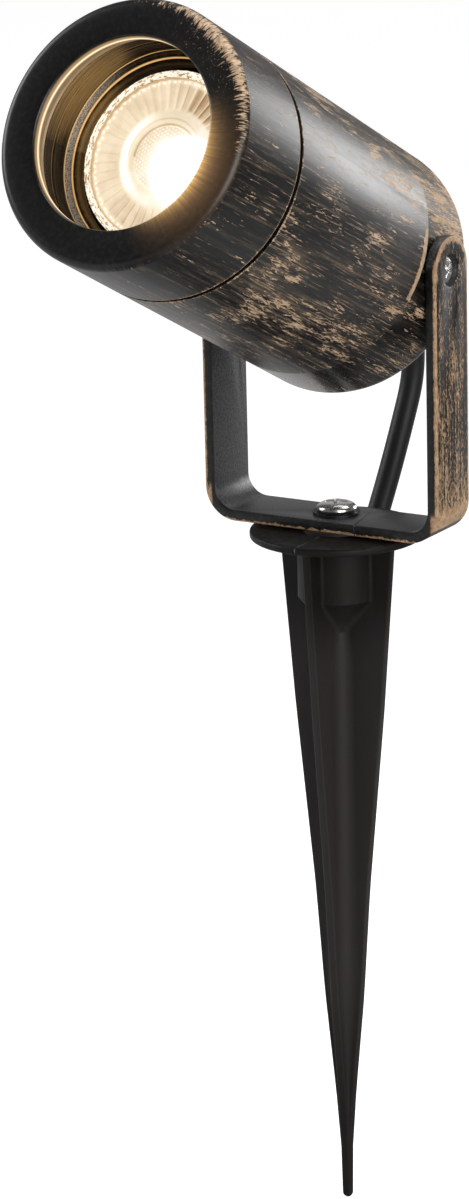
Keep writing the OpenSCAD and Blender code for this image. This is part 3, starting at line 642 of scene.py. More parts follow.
def bracket_paint():
    """Black with bronze strokes down the outer faces and a solid bronze edge."""
    finish = Finish("brushed_bronze_bracket")
    x, y, z = finish.place.split()
    half_x, half_y = bracket_high.x, bracket_high.y
    across = abs(x)
    wide = abs(y)
    columns = finish.place.noise((30, 0.8, 13), 3.0, 0.6)
    ticks = finish.place.noise((0.4, 0.3, 1.3), 2.0, 0.65)
    ragged = finish.place.noise((2.2, 1.5, 2.2), 4.0, 0.65)
    spread = (ragged - 0.5) * (3.2 * MM)
    out = across.step(half_x - 0.5 * MM, half_x - 0.1 * MM)
    under = (z + spread).step(bracket_low.z + 0.9 * MM, bracket_low.z + 0.5 * MM)
    up = z - pivot.z
    arch = distance(y, up)
    crown = (arch + spread).step(half_y - 2.0 * MM, half_y - 1.2 * MM) * up.step(-3 * MM, 0.0)
    patches = finish.place.noise((20, 5, 22), 2.0)
    strokes = columns * 0.5 + ticks * 0.8 + patches * 0.4
    lower = z.step(bracket_low.z + 34 * MM, bracket_low.z + 6 * MM)
    upper = z.step(pivot.z - 30 * MM, pivot.z - 4 * MM)
    strokes = strokes + lower * 0.07 - upper * 0.05
    face = out * strokes.step(0.87, 0.95)
    bottom = ((z + spread * 2.0).step(bracket_low.z + 11 * MM, bracket_low.z + 8.5 * MM)
              * (across + spread * 0.4).step(half_x - 2.6 * MM, half_x - 1.8 * MM))
    rim = ((across + spread * 0.35).step(half_x - 1.0 * MM, half_x - 0.6 * MM)
           * (wide + spread * 0.3).step(half_y - 1.1 * MM, half_y - 0.7 * MM))
    solid = highest(crown * out, bottom, rim, under)
    solid = solid * (ticks + ragged * 0.4).step(0.5, 0.58)
    bronze_on_black(finish, highest(face, solid), finish.place, gain=1.35, depth=1.2)
    slant = x + y * 0.19
    on_base = z.step(bracket_low.z + 4 * MM, bracket_low.z + 3.5 * MM)
    seam_at, softness = 9.6 * MM, 0.2 * MM
    seam = slant.near(seam_at, 0.3 * MM) * on_base
    shaded = slant.step(seam_at - softness, seam_at + softness) * on_base * 0.4
    grain = finish.place.noise(0.6, 3.0, 0.65)
    inside = across.step(half_x - 0.4 * MM, half_x - 1.2 * MM)
    front = wide.step(half_y - 0.1 * MM, half_y - 0.4 * MM)
    powder = grain.step(0.3, 0.7).mix((0.016, 0.016, 0.0165), (0.1, 0.1, 0.104))
    powder = shaded.mix(powder, (0.012, 0.012, 0.012))
    worn = finish.fed("Base Color")
    bare = inside * front * solid.step(0.5, 0.0)
    finish.set(Base_Color=seam.mix(bare.mix(worn, powder), (0.002, 0.002, 0.002)))
    return finish.bump(grain + solid * 0.4 - seam * 2.0, 0.09)


def moulded(name, colour, roughness, grain=0.25, depth=0.02):
    """Moulded plastic with a fine grain."""
    finish = Finish(name, Roughness=roughness, Specular_IOR_Level=0.5)
    cloud = finish.place.noise(6)
    finish.set(Base_Color=cloud.mix(colour, scaled(colour, 1.5)))
    return finish.bump(finish.place.noise(grain), depth)


def plain_metal(name, colour, roughness, streak=0.3, size=0.5):
    """Turned or plated metal with faint scratches."""
    finish = Finish(name, Metallic=1.0)
    scratch = finish.place.noise((size, size, 5 * size), 2.0)
    finish.set(Base_Color=scratch.mix(scaled(colour, 0.75), colour),
               Roughness=scratch.step(0.3, 0.7, roughness, roughness + streak * 0.4))
    return finish.bump(scratch, 0.01)


def rubber_sheath():
    """Matt black sheath with a faint powdery bloom."""
    colour = bpy.context.scene.spot_colours.rubber
    finish = Finish("cord_sheath", Roughness=0.5, Specular_IOR_Level=0.4)
    bloom = finish.place.noise(5)
    finish.set(Base_Color=bloom.mix(colour, scaled(colour, 1.8)))
    return finish.bump(finish.place.noise(0.3, 2.0), 0.02)


def clear_glass():
    """Clear glass that lets most of the view through."""
    finish = Finish("clear_glass", Roughness=0.03, Alpha=0.06, IOR=1.5, Base_Color=(0.03, 0.03, 0.03))
    return finish.bump(finish.place.noise(8, 1.0), 0.01)


def silicone():
    """Translucent cream seal, brightest along its lip, lit from inside by the lamp."""
    finish = Finish("silicone_seal", Roughness=0.3, Subsurface_Weight=0.2, Subsurface_Scale=0.002)
    _, _, z, _, radius = finish.to_head()
    cloud = finish.place.noise(3)
    lip = z.near(glass_front + 0.25 * MM, 0.3 * MM)
    inner = radius.step(glass_r - 1.0 * MM, glass_r - 1.6 * MM)
    finish.set(Base_Color=cloud.mix((0.3, 0.22, 0.13), (0.45, 0.35, 0.23)))
    return finish.set(Emission_Color=(lip * inner).mix((0.9, 0.6, 0.32), (0.85, 0.86, 0.9)),
                      Emission_Strength=0.12 + lip * inner * 0.6)


def sleeve_metal():
    """Dark turned sleeve with fine golden rings that glow as a painted reflection of the lamp, a painted
    glow of the lamp's light on its upper part and on the left, and a frosted grey ring on its inner ledge.
    """
    finish = Finish("turned_sleeve", Metallic=0.0, Specular_IOR_Level=0.12)
    _, _, z, angle, radius = finish.to_head()
    across = finish.vector(radius, 0, z)
    rings = across.noise(0.8, 4.0, 0.65)
    grain = finish.vector(angle * lamp_r, z).noise((2.6, 0.22, 1), 3.0, 0.7)
    frost = finish.place.noise(0.3, 3.0, 0.8)
    ledge = (radius.step(lamp_r + 3.5 * MM, lamp_r + 3.8 * MM)
             * z.step(lamp_front + 1.6 * MM, lamp_front + 1.0 * MM))
    # Golden lines at the ring edges, which also glow as a painted reflection of the lamp
    edges = highest(radius.near(lamp_r + 3.35 * MM, 0.3 * MM), z.near(lamp_front + 1.4 * MM, 0.6 * MM))
    edges = highest(edges, z.near(lamp_front + 7.4 * MM, 0.35 * MM) * 0.4)
    dark = (rings * 0.6 + grain * 0.4).step(0.4, 0.68).mix((0.003, 0.0018, 0.0008), (0.055, 0.032, 0.01))
    grey = frost.step(0.38, 0.62).mix((0.1, 0.085, 0.07), (0.66, 0.6, 0.52))
    left = highest(angle.step(math.radians(120), math.radians(160)),
                   angle.step(math.radians(-80), math.radians(-115)))
    tone = (ledge * left).mix(dark, grey)
    gold = edges.mix(tone, (0.9, 0.58, 0.24))
    # Painted glow of the lamp's light: on the upper part near the lamp, along a tunnel on the left and
    # round the neck
    upper = angle.sector(120, 110)
    near_lamp = z.step(sleeve_front, lamp_front)
    texture = rings.step(0.36, 0.62, 0.3, 1.3) * grain.step(0.35, 0.6, 0.7, 1.15)
    tunnel_glow = (angle.sector(148, 40) * z.step(lamp_front + 1.9 * MM, lamp_front + 2.6 * MM)
              * z.step(lamp_front + 3.0 * MM, lamp_front + 11 * MM, 0.5, 1.05))
    neck_glow = radius.step(lamp_r + 3.1 * MM, lamp_r + 2.7 * MM) * left * 0.22
    warm = (tunnel_glow + neck_glow) * texture
    lit = warm.step(0.0, 0.22).mix(gold, (0.55, 0.31, 0.1))
    finish.set(Base_Color=gold, Roughness=ledge.step(0, 1, 0.28, 0.6), Emission_Color=lit,
               Emission_Strength=0.03 + edges * 0.34 + ledge * 0.05 + upper * near_lamp * 0.3 + warm * 0.3)
    return finish.bump(rings * 0.5 + ledge * frost, 0.06)


# Details of the lamp's face; its hot spot is painted off centre, where the lens shows the chip's image
hot_spot = (6.6 * MM, -3.2 * MM)
flutes = 44
rim_in = lamp_r - 2.2 * MM
honeycomb_pitch = 1.15 * MM
honeycomb_wave = 2 * math.pi / (honeycomb_pitch * math.cos(math.pi / 6))


def lamp_glass():
    """Lit face of the lamp: bright dome, glowing ring with a painted highlight on its left, flutes with
    painted shade between them, and a sparkling rim.
    """
    finish = Finish("lit_lamp_face", Roughness=0.12, Specular_IOR_Level=0.5)
    x, y, z, angle, radius = finish.to_head()
    away = distance(x - hot_spot[0], y - hot_spot[1])
    hot = away.step(12.8 * MM, 5.6 * MM)
    halo = away.step(18 * MM, 9 * MM)
    # Painted highlight: a bright band along a ring on the left side
    ring = radius.near(12.6 * MM, 2.4 * MM) * abs(angle).sector(165, 80)
    wave = (angle * (flutes / math.tau)).math("FRACT")
    uneven = finish.vector(angle).noise(0.09, 2.0, 0.6, unit=1)
    fluted = radius.step(13.6 * MM, 15 * MM) * radius.step(21.6 * MM, 20.6 * MM)
    # Painted shade between the flutes, strongest on the upper right and lower left
    flute_shade = 0.1 + angle.sector(56, 44) * 0.5 + angle.sector(-115, 45) * 0.2
    facet = fluted * wave * flute_shade * uneven.step(0.3, 0.6, 0.4, 1.0)
    sparkle = finish.unrolled(angle, radius, z).noise((2.6, 0.8, 0.8), 2.0, 0.7)
    rim = radius.step(rim_in - 0.1 * MM, rim_in + 0.1 * MM)
    crystal = rim * (sparkle.step(0.48, 0.42) - 0.4) * 0.62
    line = radius.near(rim_in - 0.1 * MM, 0.35 * MM) * 0.45
    beads = radius.near(rim_in - 0.9 * MM, 0.5 * MM) * (angle * 84.0).math("SINE").step(-0.4, 0.8) * 0.4
    dome = radius.step(9.6 * MM, 9.2 * MM)
    waves = [((x * math.cos(turn) + y * math.sin(turn)) * honeycomb_wave).math("COSINE")
             for turn in (0.0, math.pi / 3, -math.pi / 3)]
    lenses = dome * (sum(waves).step(1.4, -1.0) - 0.5) * 0.2
    arcs = (highest(radius.near(9.8 * MM, 0.5 * MM), radius.near(11.4 * MM, 0.4 * MM) * 0.6)
            * angle.step(math.radians(10), math.radians(60)) * 0.3)
    cloud = finish.place.noise(6, 2.0).step(0.35, 0.65) * 0.1
    level = 0.84 + ring * 0.5 + halo * 0.26 + cloud + beads
    level = level - (facet + crystal + line + lenses + arcs)
    strength = highest(level, 0.05) + hot * hot * hot * 6.0
    warm = level.step(0.3, 0.95).mix((0.75, 0.42, 0.14), (1.0, 0.85, 0.62))
    tint = strength.step(0.85, 1.3).mix(warm, (1.0, 0.95, 0.86))
    finish.set(Base_Color=(0.42, 0.36, 0.27), Emission_Color=tint, Emission_Strength=strength)
    return finish.bump(rim * sparkle, 0.3)


# The camera


class SPOT_OT_camera(bpy.types.Operator):
    """Place the camera where the photograph was taken"""

    bl_idname = "spot.camera"
    bl_label = "Camera"

    def execute(self, context):
        s = context.scene.spot_camera
        back = Vector((math.sin(s.azimuth) * math.cos(s.elevation),
                       -math.cos(s.azimuth) * math.cos(s.elevation), math.sin(s.elevation)))
        right = Vector((math.cos(s.azimuth), math.sin(s.azimuth), 0))
        up = back.cross(right)
        target = right * s.across + Vector((0, 0, s.height))
        turned_right = right * math.cos(s.roll) + up * math.sin(s.roll)
        turned_up = up * math.cos(s.roll) - right * math.sin(s.roll)
        deselect()
        bpy.ops.object.camera_add(location=target + back * s.distance)
        camera = bpy.context.active_object
        camera.name = "photo_camera"
        camera.rotation_euler = Matrix((turned_right, turned_up, back)).transposed().to_euler()
        camera.data.sensor_fit = "VERTICAL"
        camera.data.sensor_width = camera.data.sensor_height = 36
        camera.data.lens = s.lens
        camera.data.clip_start, camera.data.clip_end = 0.1, 10
        context.scene.camera = camera
        return {"FINISHED"}


# The supply cord: a free stretch from the gland, then a coil behind the spike

# Places along the free stretch, in metres
cord_route = [
    (-0.00005, 0.0404, 0.0631), (-0.0002, 0.0446, 0.0594), (-0.0005, 0.048, 0.0548),
    (-0.0009, 0.0503, 0.0496), (-0.00135, 0.0514, 0.0441), (-0.00175, 0.0514, 0.0385),
    (-0.00215, 0.0502, 0.0329), (-0.0028, 0.047, 0.0248), (-0.0037, 0.0432, 0.0154),
    (-0.0048, 0.0394, 0.006), (-0.0061, 0.0355, -0.0036), (-0.0075, 0.0317, -0.0134),
    (-0.009, 0.0288, -0.0232), (-0.0103, 0.027, -0.033), (-0.0111, 0.0261, -0.042),
]
# Length of the straight leads at both ends of the free stretch, out of the gland and down into the coil
cord_lead = 5 * MM
coil_yaw = math.radians(31)
coil_side = Vector((math.cos(coil_yaw), math.sin(coil_yaw), 0))
coil_away = Vector((-math.sin(coil_yaw), math.cos(coil_yaw), 0))
coil_up = Vector((0, 0, 1))


def through(points, steps):
    """A smooth line through points, as a chain of short straight steps."""
    line = []
    for i in range(len(points) - 1):
        a, b = points[max(i - 1, 0)], points[i]
        c, d = points[i + 1], points[min(i + 2, len(points) - 1)]
        for k in range(steps):
            t = k / steps
            line.append(0.5 * (2 * b + (c - a) * t + (2 * a - 5 * b + 4 * c - d) * t ** 2
                               + (3 * b - a - 3 * c + d) * t ** 3))
    return line + [points[-1]]


def coil_climb(t, turns):
    """Shift to the side after t turns, in pitches: half a pitch one way, then half the other."""
    s = min(max(2 * (t - turns / 2) + 0.5, 0), 1)
    return 0.5 - s * s * (3 - 2 * s)


def coil_point(s, t):
    """A place on the coil after t turns: in and out again, in two layers."""
    turn = 2 * math.pi * (t + 0.5)
    r = s.coil_radius - s.pitch * min(t, s.turns - t)
    centre = coil_away * (s.coil_near + s.coil_radius) + coil_up * s.coil_height
    return (centre + (coil_away * math.cos(turn) + coil_up * math.sin(turn)) * r
            + coil_side * s.pitch * coil_climb(t, s.turns))


def length_of(points):
    """Length along a chain of points."""
    return sum((b - a).length for a, b in zip(points, points[1:]))


class SPOT_OT_cord(bpy.types.Operator):
    """Lay the supply cord from the gland into its coil, with its bare cores and tie"""

    bl_idname = "spot.cord"
    bl_label = "Supply cord"

    def execute(self, context):
        s = context.scene.spot_cord
        exit_at, _ = head_span("gland_cap")
        out = [in_head @ Vector((0, 0, exit_at - cord_lead * k / 2)) for k in (0, 1, 2)]
        start = coil_point(s, 0) + coil_up * s.diameter
        lead = [start + coil_up * cord_lead * k / 2 for k in (2, 1, 0)]
        free = through(out + [Vector(place) for place in cord_route] + lead, 4)
        around = [coil_point(s, k / 36) for k in range(36 * s.turns + 1)]
        end = around[-1] - coil_up * s.diameter
        path = free + around + [end]
        cord = tube("supply_cord_sheath", path, s.diameter / 2, 20)
        dress(cord, rubber_sheath(), "black_rubber")
        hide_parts("supply_cord", "cord_coil")
        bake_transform(cord)
        cores = self.cores(end)
        tie = copy_of("coil_tie", "cord_tie")
        bevel(tie, 0.15 * MM)
        nylon = moulded("tie_nylon", (0.012, 0.012, 0.012), 0.4)
        dress(smooth(tie), nylon, "nylon_black", "bracket", "coil_tie")
        length_of(path)
        cores + [tie]
        return {"FINISHED"}

    def cores(self, end):
        """Three stripped cores with bare copper at their ends."""
        made = []
        looks = [("core_brown", (0.13, 0.045, 0.02)), ("core_blue", (0.02, 0.09, 0.42)),
                 ("core_earth", (0.25, 0.42, 0.02))]
        copper = plain_metal("bare_copper", (0.85, 0.42, 0.25), 0.3)
        strands = []
        core_r, copper_length, strand_r, strand_ring = 1.25 * MM, 6 * MM, 0.24 * MM, 0.36 * MM
        for k, (node, colour) in enumerate(looks):
            around = coil_side * math.cos(k * math.tau / 3) + coil_away * math.sin(k * math.tau / 3)
            at = end + around * 1.55 * MM
            points = through([at + coil_up * MM, at - coil_up * 5.5 * MM,
                              at + around * 1.36 * MM - coil_up * 13.2 * MM,
                              at + around * 3.4 * MM - coil_up * 22 * MM], 5)
            core = tube(node + "_sleeve", points, core_r, 12)
            slot = "core_green" if node == "core_earth" else node
            dress(core, self.core_finish(node, colour), slot, "bracket", node)
            ahead = (points[-1] - points[-2]).normalized()
            side = ahead.orthogonal().normalized()
            for turn in range(5):
                off = (Matrix.Rotation(turn * math.tau / 5, 3, ahead) @ side) * strand_ring
                ends = [points[-1] - ahead * MM + off, points[-1] + ahead * copper_length + off]
                strands.append(tube("strand", ends, strand_r, 8))
            made.append(core)
        bare = joined("bare_strands", strands)
        dress(bare, copper, "bare_copper", "bracket", "core_strands")
        return made + [bare]

    def core_finish(self, node, colour):
        """Plain colour of a core, or green and yellow stripes along the earth."""
        finish = Finish(node + "_plastic", Roughness=0.35)
        if node != "core_earth":
            shade = finish.place.noise(2, 2.0)
            return finish.set(Base_Color=shade.mix(colour, scaled(colour, 1.3)))
        x, y, _ = finish.place.split()
        stripe = ((x + y) * 2600.0).math("SINE")
        return finish.set(Base_Color=stripe.step(-0.1, 0.1).mix((0.04, 0.3, 0.05), (0.75, 0.65, 0.03)))


# The lamp head


class SPOT_OT_housing(bpy.types.Operator):
    """Turn the rear housing, with its groove, thread and two side flats"""

    bl_idname = "spot.housing"
    bl_label = "Rear housing"

    def execute(self, context):
        s = context.scene.spot_head
        shoulder = bezel_back - 1.7 * MM
        seat = bezel_back - 0.05 * MM
        spigot_r = gasket_r + 2.8 * MM
        cavity_r = spigot_r - 2.6 * MM
        gland_r = 8 * MM
        wall = 3 * MM
        crests = 7
        pitch = (spigot_end - seat) / crests
        crest = [(spigot_r - 0.5 * MM, 0.1), (spigot_r, 0.5), (spigot_r, 0.65)]
        thread = [(r, seat + k * pitch + share * pitch) for k in range(crests) for r, share in crest]
        profile = [(gland_r, housing_back)]
        profile += arc(head_r - s.back_round, housing_back + s.back_round, s.back_round, -90, 0, 12)
        profile += [(head_r, shoulder - 0.15 * MM), (head_r - 0.15 * MM, shoulder),
                    (head_r - s.groove, shoulder), (head_r - s.groove, seat)] + thread
        profile += [(spigot_r - 0.5 * MM, spigot_end), (cavity_r, spigot_end),
                    (cavity_r, housing_back + wall), (gland_r, housing_back + wall)]
        housing = turned("housing_shell", profile, 160)
        reach = 2 * head_r
        for side in (-1, 1):
            near, far = sorted((side * s.flat_x, side * reach))
            cut(housing, block("flat", (near, -reach, -reach), (far, reach, s.flat_front), in_head))
        bevel(housing, 0.16 * MM, 40)
        dress(smooth(housing, 30), housing_paint(), "antique_bronze", "head", "rear_housing")
        return {"FINISHED"}


class SPOT_OT_bezel(bpy.types.Operator):
    """Turn the front bezel with its rounded edge and light opening"""

    bl_idname = "spot.bezel"
    bl_label = "Front bezel"

    def execute(self, context):
        s = context.scene.spot_head
        opening = head_r - s.rim
        edge = 0.8 * MM
        bore = gasket_r + 2.75 * MM
        step = spigot_end + 2 * MM
        seat_r = gasket_r + 0.1 * MM
        seat = gasket_front
        profile = [(bore, bezel_back), (head_r - 0.25 * MM, bezel_back), (head_r, bezel_back + 0.25 * MM)]
        profile += arc(head_r - s.front_round, bezel_front - s.front_round, s.front_round, 0, 90, 10)
        profile += arc(opening + edge, bezel_front - edge, edge, 90, 180, 5)
        profile += [(opening, seat), (seat_r, seat), (seat_r, step), (bore, step)]
        bezel = turned("bezel_ring", profile, 160)
        dress(bezel, bezel_paint(), "satin_black", "bezel", "front_bezel")
        return {"FINISHED"}


class SPOT_OT_lens(bpy.types.Operator):
    """Turn the glass, its seal and the sleeve behind it"""

    bl_idname = "spot.lens"
    bl_label = "Lens, seal and sleeve"

    def execute(self, context):
        edge = 0.4 * MM
        profile = [(0, glass_back), (glass_r - edge, glass_back), (glass_r, glass_back + edge),
                   (glass_r, glass_front - edge), (glass_r - edge, glass_front), (0, glass_front)]
        glass = turned("glass_disc", profile, closed=False)
        dress(glass, clear_glass(), "lens_glass", "lens", "lens_glass")
        lip = glass_r - 2 * MM
        bead = 0.35 * MM
        gap = 0.02 * MM
        profile = [(gasket_r, gasket_back), (gasket_r, gasket_front)]
        profile += arc(lip + bead, gasket_front - bead, bead, 90, 180, 4)
        profile += [(lip + bead, glass_front + gap), (glass_r + gap, glass_front + gap),
                    (glass_r + gap, glass_back - gap), (lip + bead, glass_back - gap)]
        profile += arc(lip + bead, gasket_back + bead, bead, 180, 270, 4)
        seal = turned("seal_ring", profile)
        dress(seal, silicone(), "silicone", "lens", "lens_gasket")
        self.sleeve()
        return {"FINISHED"}

    def sleeve(self):
        """Stepped sleeve between the housing and the seal."""
        out = head_radius("lens_sleeve")
        bore = lamp_r + 1.6 * MM
        ledge = lamp_r + 3.4 * MM
        inner = glass_r - 0.7 * MM
        mouth = glass_r - 0.2 * MM
        ring_at = sleeve_back + 4 * MM
        mid_at = ring_at + 6.5 * MM
        mouth_at = mid_at + 4.5 * MM
        back_r = gasket_r + 0.1 * MM
        flange_at = spigot_end + 0.05 * MM
        profile = [(bore, sleeve_back), (back_r, sleeve_back), (back_r, flange_at), (out, flange_at),
                   (out, flange_at + 1.7 * MM), (gasket_r, flange_at + 1.7 * MM), (gasket_r, sleeve_front),
                   (glass_r, sleeve_front), (glass_r, mouth_at)]
        rings = 9
        for r, depth, start, end in ((mouth, 0.12 * MM, mouth_at, mid_at),
                                     (inner, 0.15 * MM, mid_at, ring_at)):
            ridges = [(r - (depth if k % 2 else 0), start + (end - start) * (k + 0.5) / rings)
                      for k in range(rings)]
            profile += [(r, start), *ridges, (r, end)]
        profile += [(ledge + 0.3 * MM, ring_at), (ledge, ring_at - 0.3 * MM),
                    (ledge, ring_at - 0.7 * MM), (bore + 0.4 * MM, ring_at - 0.7 * MM),
                    (bore, ring_at - 1.1 * MM)]
        sleeve = turned("sleeve_shell", profile)
        dress(sleeve, sleeve_metal(), "sleeve_metal", "head", "lens_sleeve")


class SPOT_OT_lamp(bpy.types.Operator):
    """Press the fluted lamp face with its honeycomb dome and sparkling rim"""

    bl_idname = "spot.lamp"
    bl_label = "Lamp"

    def execute(self, context):
        steps = flutes * 6
        flute_in, dome = 14.2 * MM, 9.4 * MM
        floor = lamp_front - 1.2 * MM
        profile = [(0, lamp_back), (lamp_r - 0.3 * MM, lamp_back), (lamp_r, lamp_back + 0.3 * MM),
                   (lamp_r, lamp_front - 0.5 * MM), (lamp_r - 0.3 * MM, lamp_front)]
        profile += [(lamp_r + (rim_in - lamp_r) * t, lamp_front + 0.05 * MM * math.sin(9 * t))
                    for t in (0.25, 0.4, 0.55, 0.7, 0.85, 1.0)]
        profile += [(rim_in - 0.3 * MM, floor)]
        profile += [(rim_in - 0.3 * MM + (flute_in - rim_in) * t, floor) for t in (0.1, 0.5, 0.9)]
        profile += [(flute_in - 0.6 * MM, floor + 0.5 * MM), (11.8 * MM, floor + 0.8 * MM),
                    (10.2 * MM, floor + 0.3 * MM)]
        rings = 38
        profile += [(dome * k / rings, floor + 1.6 * MM * math.sqrt(1 - (k / rings) ** 2))
                    for k in range(rings, -1, -1)]
        face = turned("lamp_face", profile, steps, closed=False, place=None)
        for v in face.data.vertices:
            r = math.hypot(v.co.x, v.co.y)
            if v.co.z < lamp_front - 1.5 * MM:
                continue
            angle = math.atan2(v.co.y, v.co.x)
            if flute_in < r < rim_in - 0.2 * MM:
                v.co.z += 0.35 * MM * math.cos(flutes * angle)
            elif r > rim_in:
                v.co.z -= 0.5 * MM * abs(field.noise(v.co * 1400))
            elif r < dome * 0.99:
                v.co.z += 0.16 * MM * self.honeycomb(v.co.x, v.co.y)
        face.data.transform(in_head)
        dress(smooth(face, 18), lamp_glass(), "lamp_face", "lamp", "lamp_lens")
        cup = Finish("lamp_cup", Roughness=0.3)
        cup.set(Base_Color=cup.place.noise(4).mix((0.75, 0.74, 0.7), (0.85, 0.84, 0.8)))
        paint(["lamp_body"], cup.material)
        return {"FINISHED"}

    def honeycomb(self, x, y):
        """Height of a field of small round lenses in a hexagon pattern."""
        pitch = honeycomb_pitch
        row_pitch = pitch * 0.866
        row = round(y / row_pitch)
        best = 1.0
        for near in (row - 1, row, row + 1):
            shift = pitch / 2 if near % 2 else 0
            column = round((x - shift) / pitch)
            gap = math.hypot(x - shift - column * pitch, y - near * row_pitch)
            best = min(best, gap / (pitch / 2))
        return 1 - best * best


class SPOT_OT_inside(bpy.types.Operator):
    """Finish the pieces inside the head and the gland"""

    bl_idname = "spot.inside"
    bl_label = "Inner pieces and gland"

    def execute(self, context):
        zinc = plain_metal("bright_zinc", context.scene.spot_colours.zinc, 0.22)
        brass = plain_metal("plain_brass", (0.75, 0.55, 0.24), 0.25)
        rubber = rubber_sheath()
        black = moulded("gland_nylon", (0.016, 0.016, 0.016), 0.42)
        paint(["lamp_pins", "holder_screws", "holder_bridge", "bridge_screws", "block_screws"], zinc)
        paint(["spike_insert", "terminal_screws", "holder_contacts", "earth_screw"], brass)
        paint(["bezel_o_ring", "gland_seal", "gland_washer", "cord_entry"], rubber)
        paint(["pan_washer", "gland_locknut"], black)
        for node, *look in [("lamp_holder", "steatite", (0.72, 0.68, 0.6), 0.6, 0.4, 0.03),
                            ("terminal_block", "white_nylon", (0.75, 0.74, 0.7), 0.45),
                            ("live_wire", "brown_core", (0.13, 0.045, 0.02), 0.35),
                            ("neutral_wire", "blue_core", (0.02, 0.09, 0.42), 0.35),
                            ("earth_wire", "green_core", (0.2, 0.4, 0.03), 0.35),
                            ("holder_leads", "woven_sleeve", (0.7, 0.66, 0.56), 0.8, 0.5, 0.2)]:
            paint([node], moulded(*look))
        for node in ("gland_body", "gland_cap"):
            piece = copy_of(node, node + "_moulding")
            bevel(piece, 0.3 * MM, 35)
            dress(smooth(piece, 30), black, "nylon_black", "head", node)
        return {"FINISHED"}


# The bracket, its screws and the spike


class SPOT_OT_bracket(bpy.types.Operator):
    """Bend the U bracket with its round arm tops and screw recesses"""

    bl_idname = "spot.bracket"
    bl_label = "Bracket"

    def execute(self, context):
        out, half = bracket_high.x, bracket_high.y
        thick, bend = 3.4 * MM, 10 * MM
        recess_r, recess_length = 4.7 * MM, 4.8 * MM
        pivot_hole_r, base_hole_r, hole_length = 2.6 * MM, 3.2 * MM, 20 * MM
        low, high = bracket_low.z, bracket_high.z
        strip = block("bracket_strip", (-out, -half, low + bend), (thick - out, half, high))
        only(strip)
        bpy.ops.object.mode_set(mode="EDIT")
        pick(strip, lambda e: all(v.co.z > high - MM for v in e.verts)
             and abs(e.verts[0].co.y - e.verts[1].co.y) < MM, "EDGE")
        bpy.ops.mesh.bevel(offset=half * 0.999, segments=20, affect="EDGES", clamp_overlap=False)
        pick(strip, lambda f: f.normal.z < -0.9)
        bpy.ops.mesh.spin(steps=14, angle=math.pi / 2, center=(bend - out, 0, low + bend), axis=(0, 1, 0))
        bpy.ops.mesh.extrude_region_move(TRANSFORM_OT_translate={"value": (out - bend, 0, 0)})
        bpy.ops.mesh.delete(type="FACE")
        bpy.ops.object.mode_set(mode="OBJECT")
        modify(strip, "MIRROR", use_clip=True, merge_threshold=0.01 * MM)
        for side in (-1, 1):
            centre = (side * out, 0, pivot.z)
            cut(strip, rod("recess", recess_r, recess_length, centre, (1, 0, 0)),
                rod("hole", pivot_hole_r, hole_length, centre, (1, 0, 0)))
        cut(strip, rod("base_hole", base_hole_r, hole_length, (0, 0, low)))
        bevel(strip, 0.55 * MM, 50, 3)
        dress(smooth(strip, 30), bracket_paint(), "antique_bronze", "bracket", "bracket")
        return {"FINISHED"}


class SPOT_OT_screws(bpy.types.Operator):
    """Turn the pan heads of the base screw and the two pivot screws"""

    bl_idname = "spot.screws"
    bl_label = "Screws"

    def execute(self, context):
        zinc = plain_metal("zinc_screw", (0.95, 0.94, 0.92), 0.2, streak=0.15, size=3)
        low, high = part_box("base_screw")
        base = self.screw("base_pan_head", high.x, h=4.2 * MM, shank=3 * MM, length=high.z - low.z,
                          top=high.z, lower=1.1 * MM)
        dress(base, zinc, "zinc_steel", "spike", "base_screw")
        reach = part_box("pivot_screws")[1].x
        pair = []
        for side in (-1, 1):
            place = (Matrix.Translation((0, 0, pivot.z)) @ Matrix.Rotation(side * math.pi / 2, 4, "Y")
                     @ Matrix.Rotation(0.5, 4, "Z"))
            screw = self.screw("pivot", 4.4 * MM, h=1.5 * MM, shank=2.5 * MM, length=9.5 * MM, top=reach)
            screw.data.transform(place)
            pair.append(screw)
        dress(joined("pivot_pan_heads", pair), zinc, "zinc_steel", "head", "pivot_screws")
        paint(["base_washer"], plain_metal("black_zinc", (0.05, 0.05, 0.05), 0.4))
        return {"FINISHED"}

    def screw(self, name, r, h, shank, length, top, lower=0):
        """A screw with a domed head, its crown below a height, and a cross recess."""
        bottom, seat = top - length, top - h
        h -= lower
        top -= lower
        bulge = [(r * math.cos(a) ** 0.7, seat + h * (0.34 + 0.66 * math.sin(a)))
                 for a in (math.radians(d) for d in range(0, 90, 9))]
        profile = [(0, bottom), (shank, bottom), (shank, seat), (r * 0.86, seat),
                   (r * 0.95, seat + 0.12 * h)]
        screw = turned(name, profile + bulge + [(0, top)], 64, closed=False, place=None)
        for turn in (0.4, 0.4 + math.pi / 2):
            place = Matrix.Rotation(turn, 4, "Z")
            low, high = (-0.55 * r, -0.11 * r, top - 0.6 * h), (0.55 * r, 0.11 * r, top + h)
            cut(screw, block("slot", low, high, place))
        bevel(screw, 0.03 * r, 40)
        return smooth(screw, 40)


# Sizes of the spike in mm
spike_length = -spike_low.z / MM
blade_reach = 19.2
blade_thickness = 2.6
boss_radius = 12.0
boss_end = 18.5
cone_length = 11.0
cone_narrowing = 9.65
tip_r = 1.6


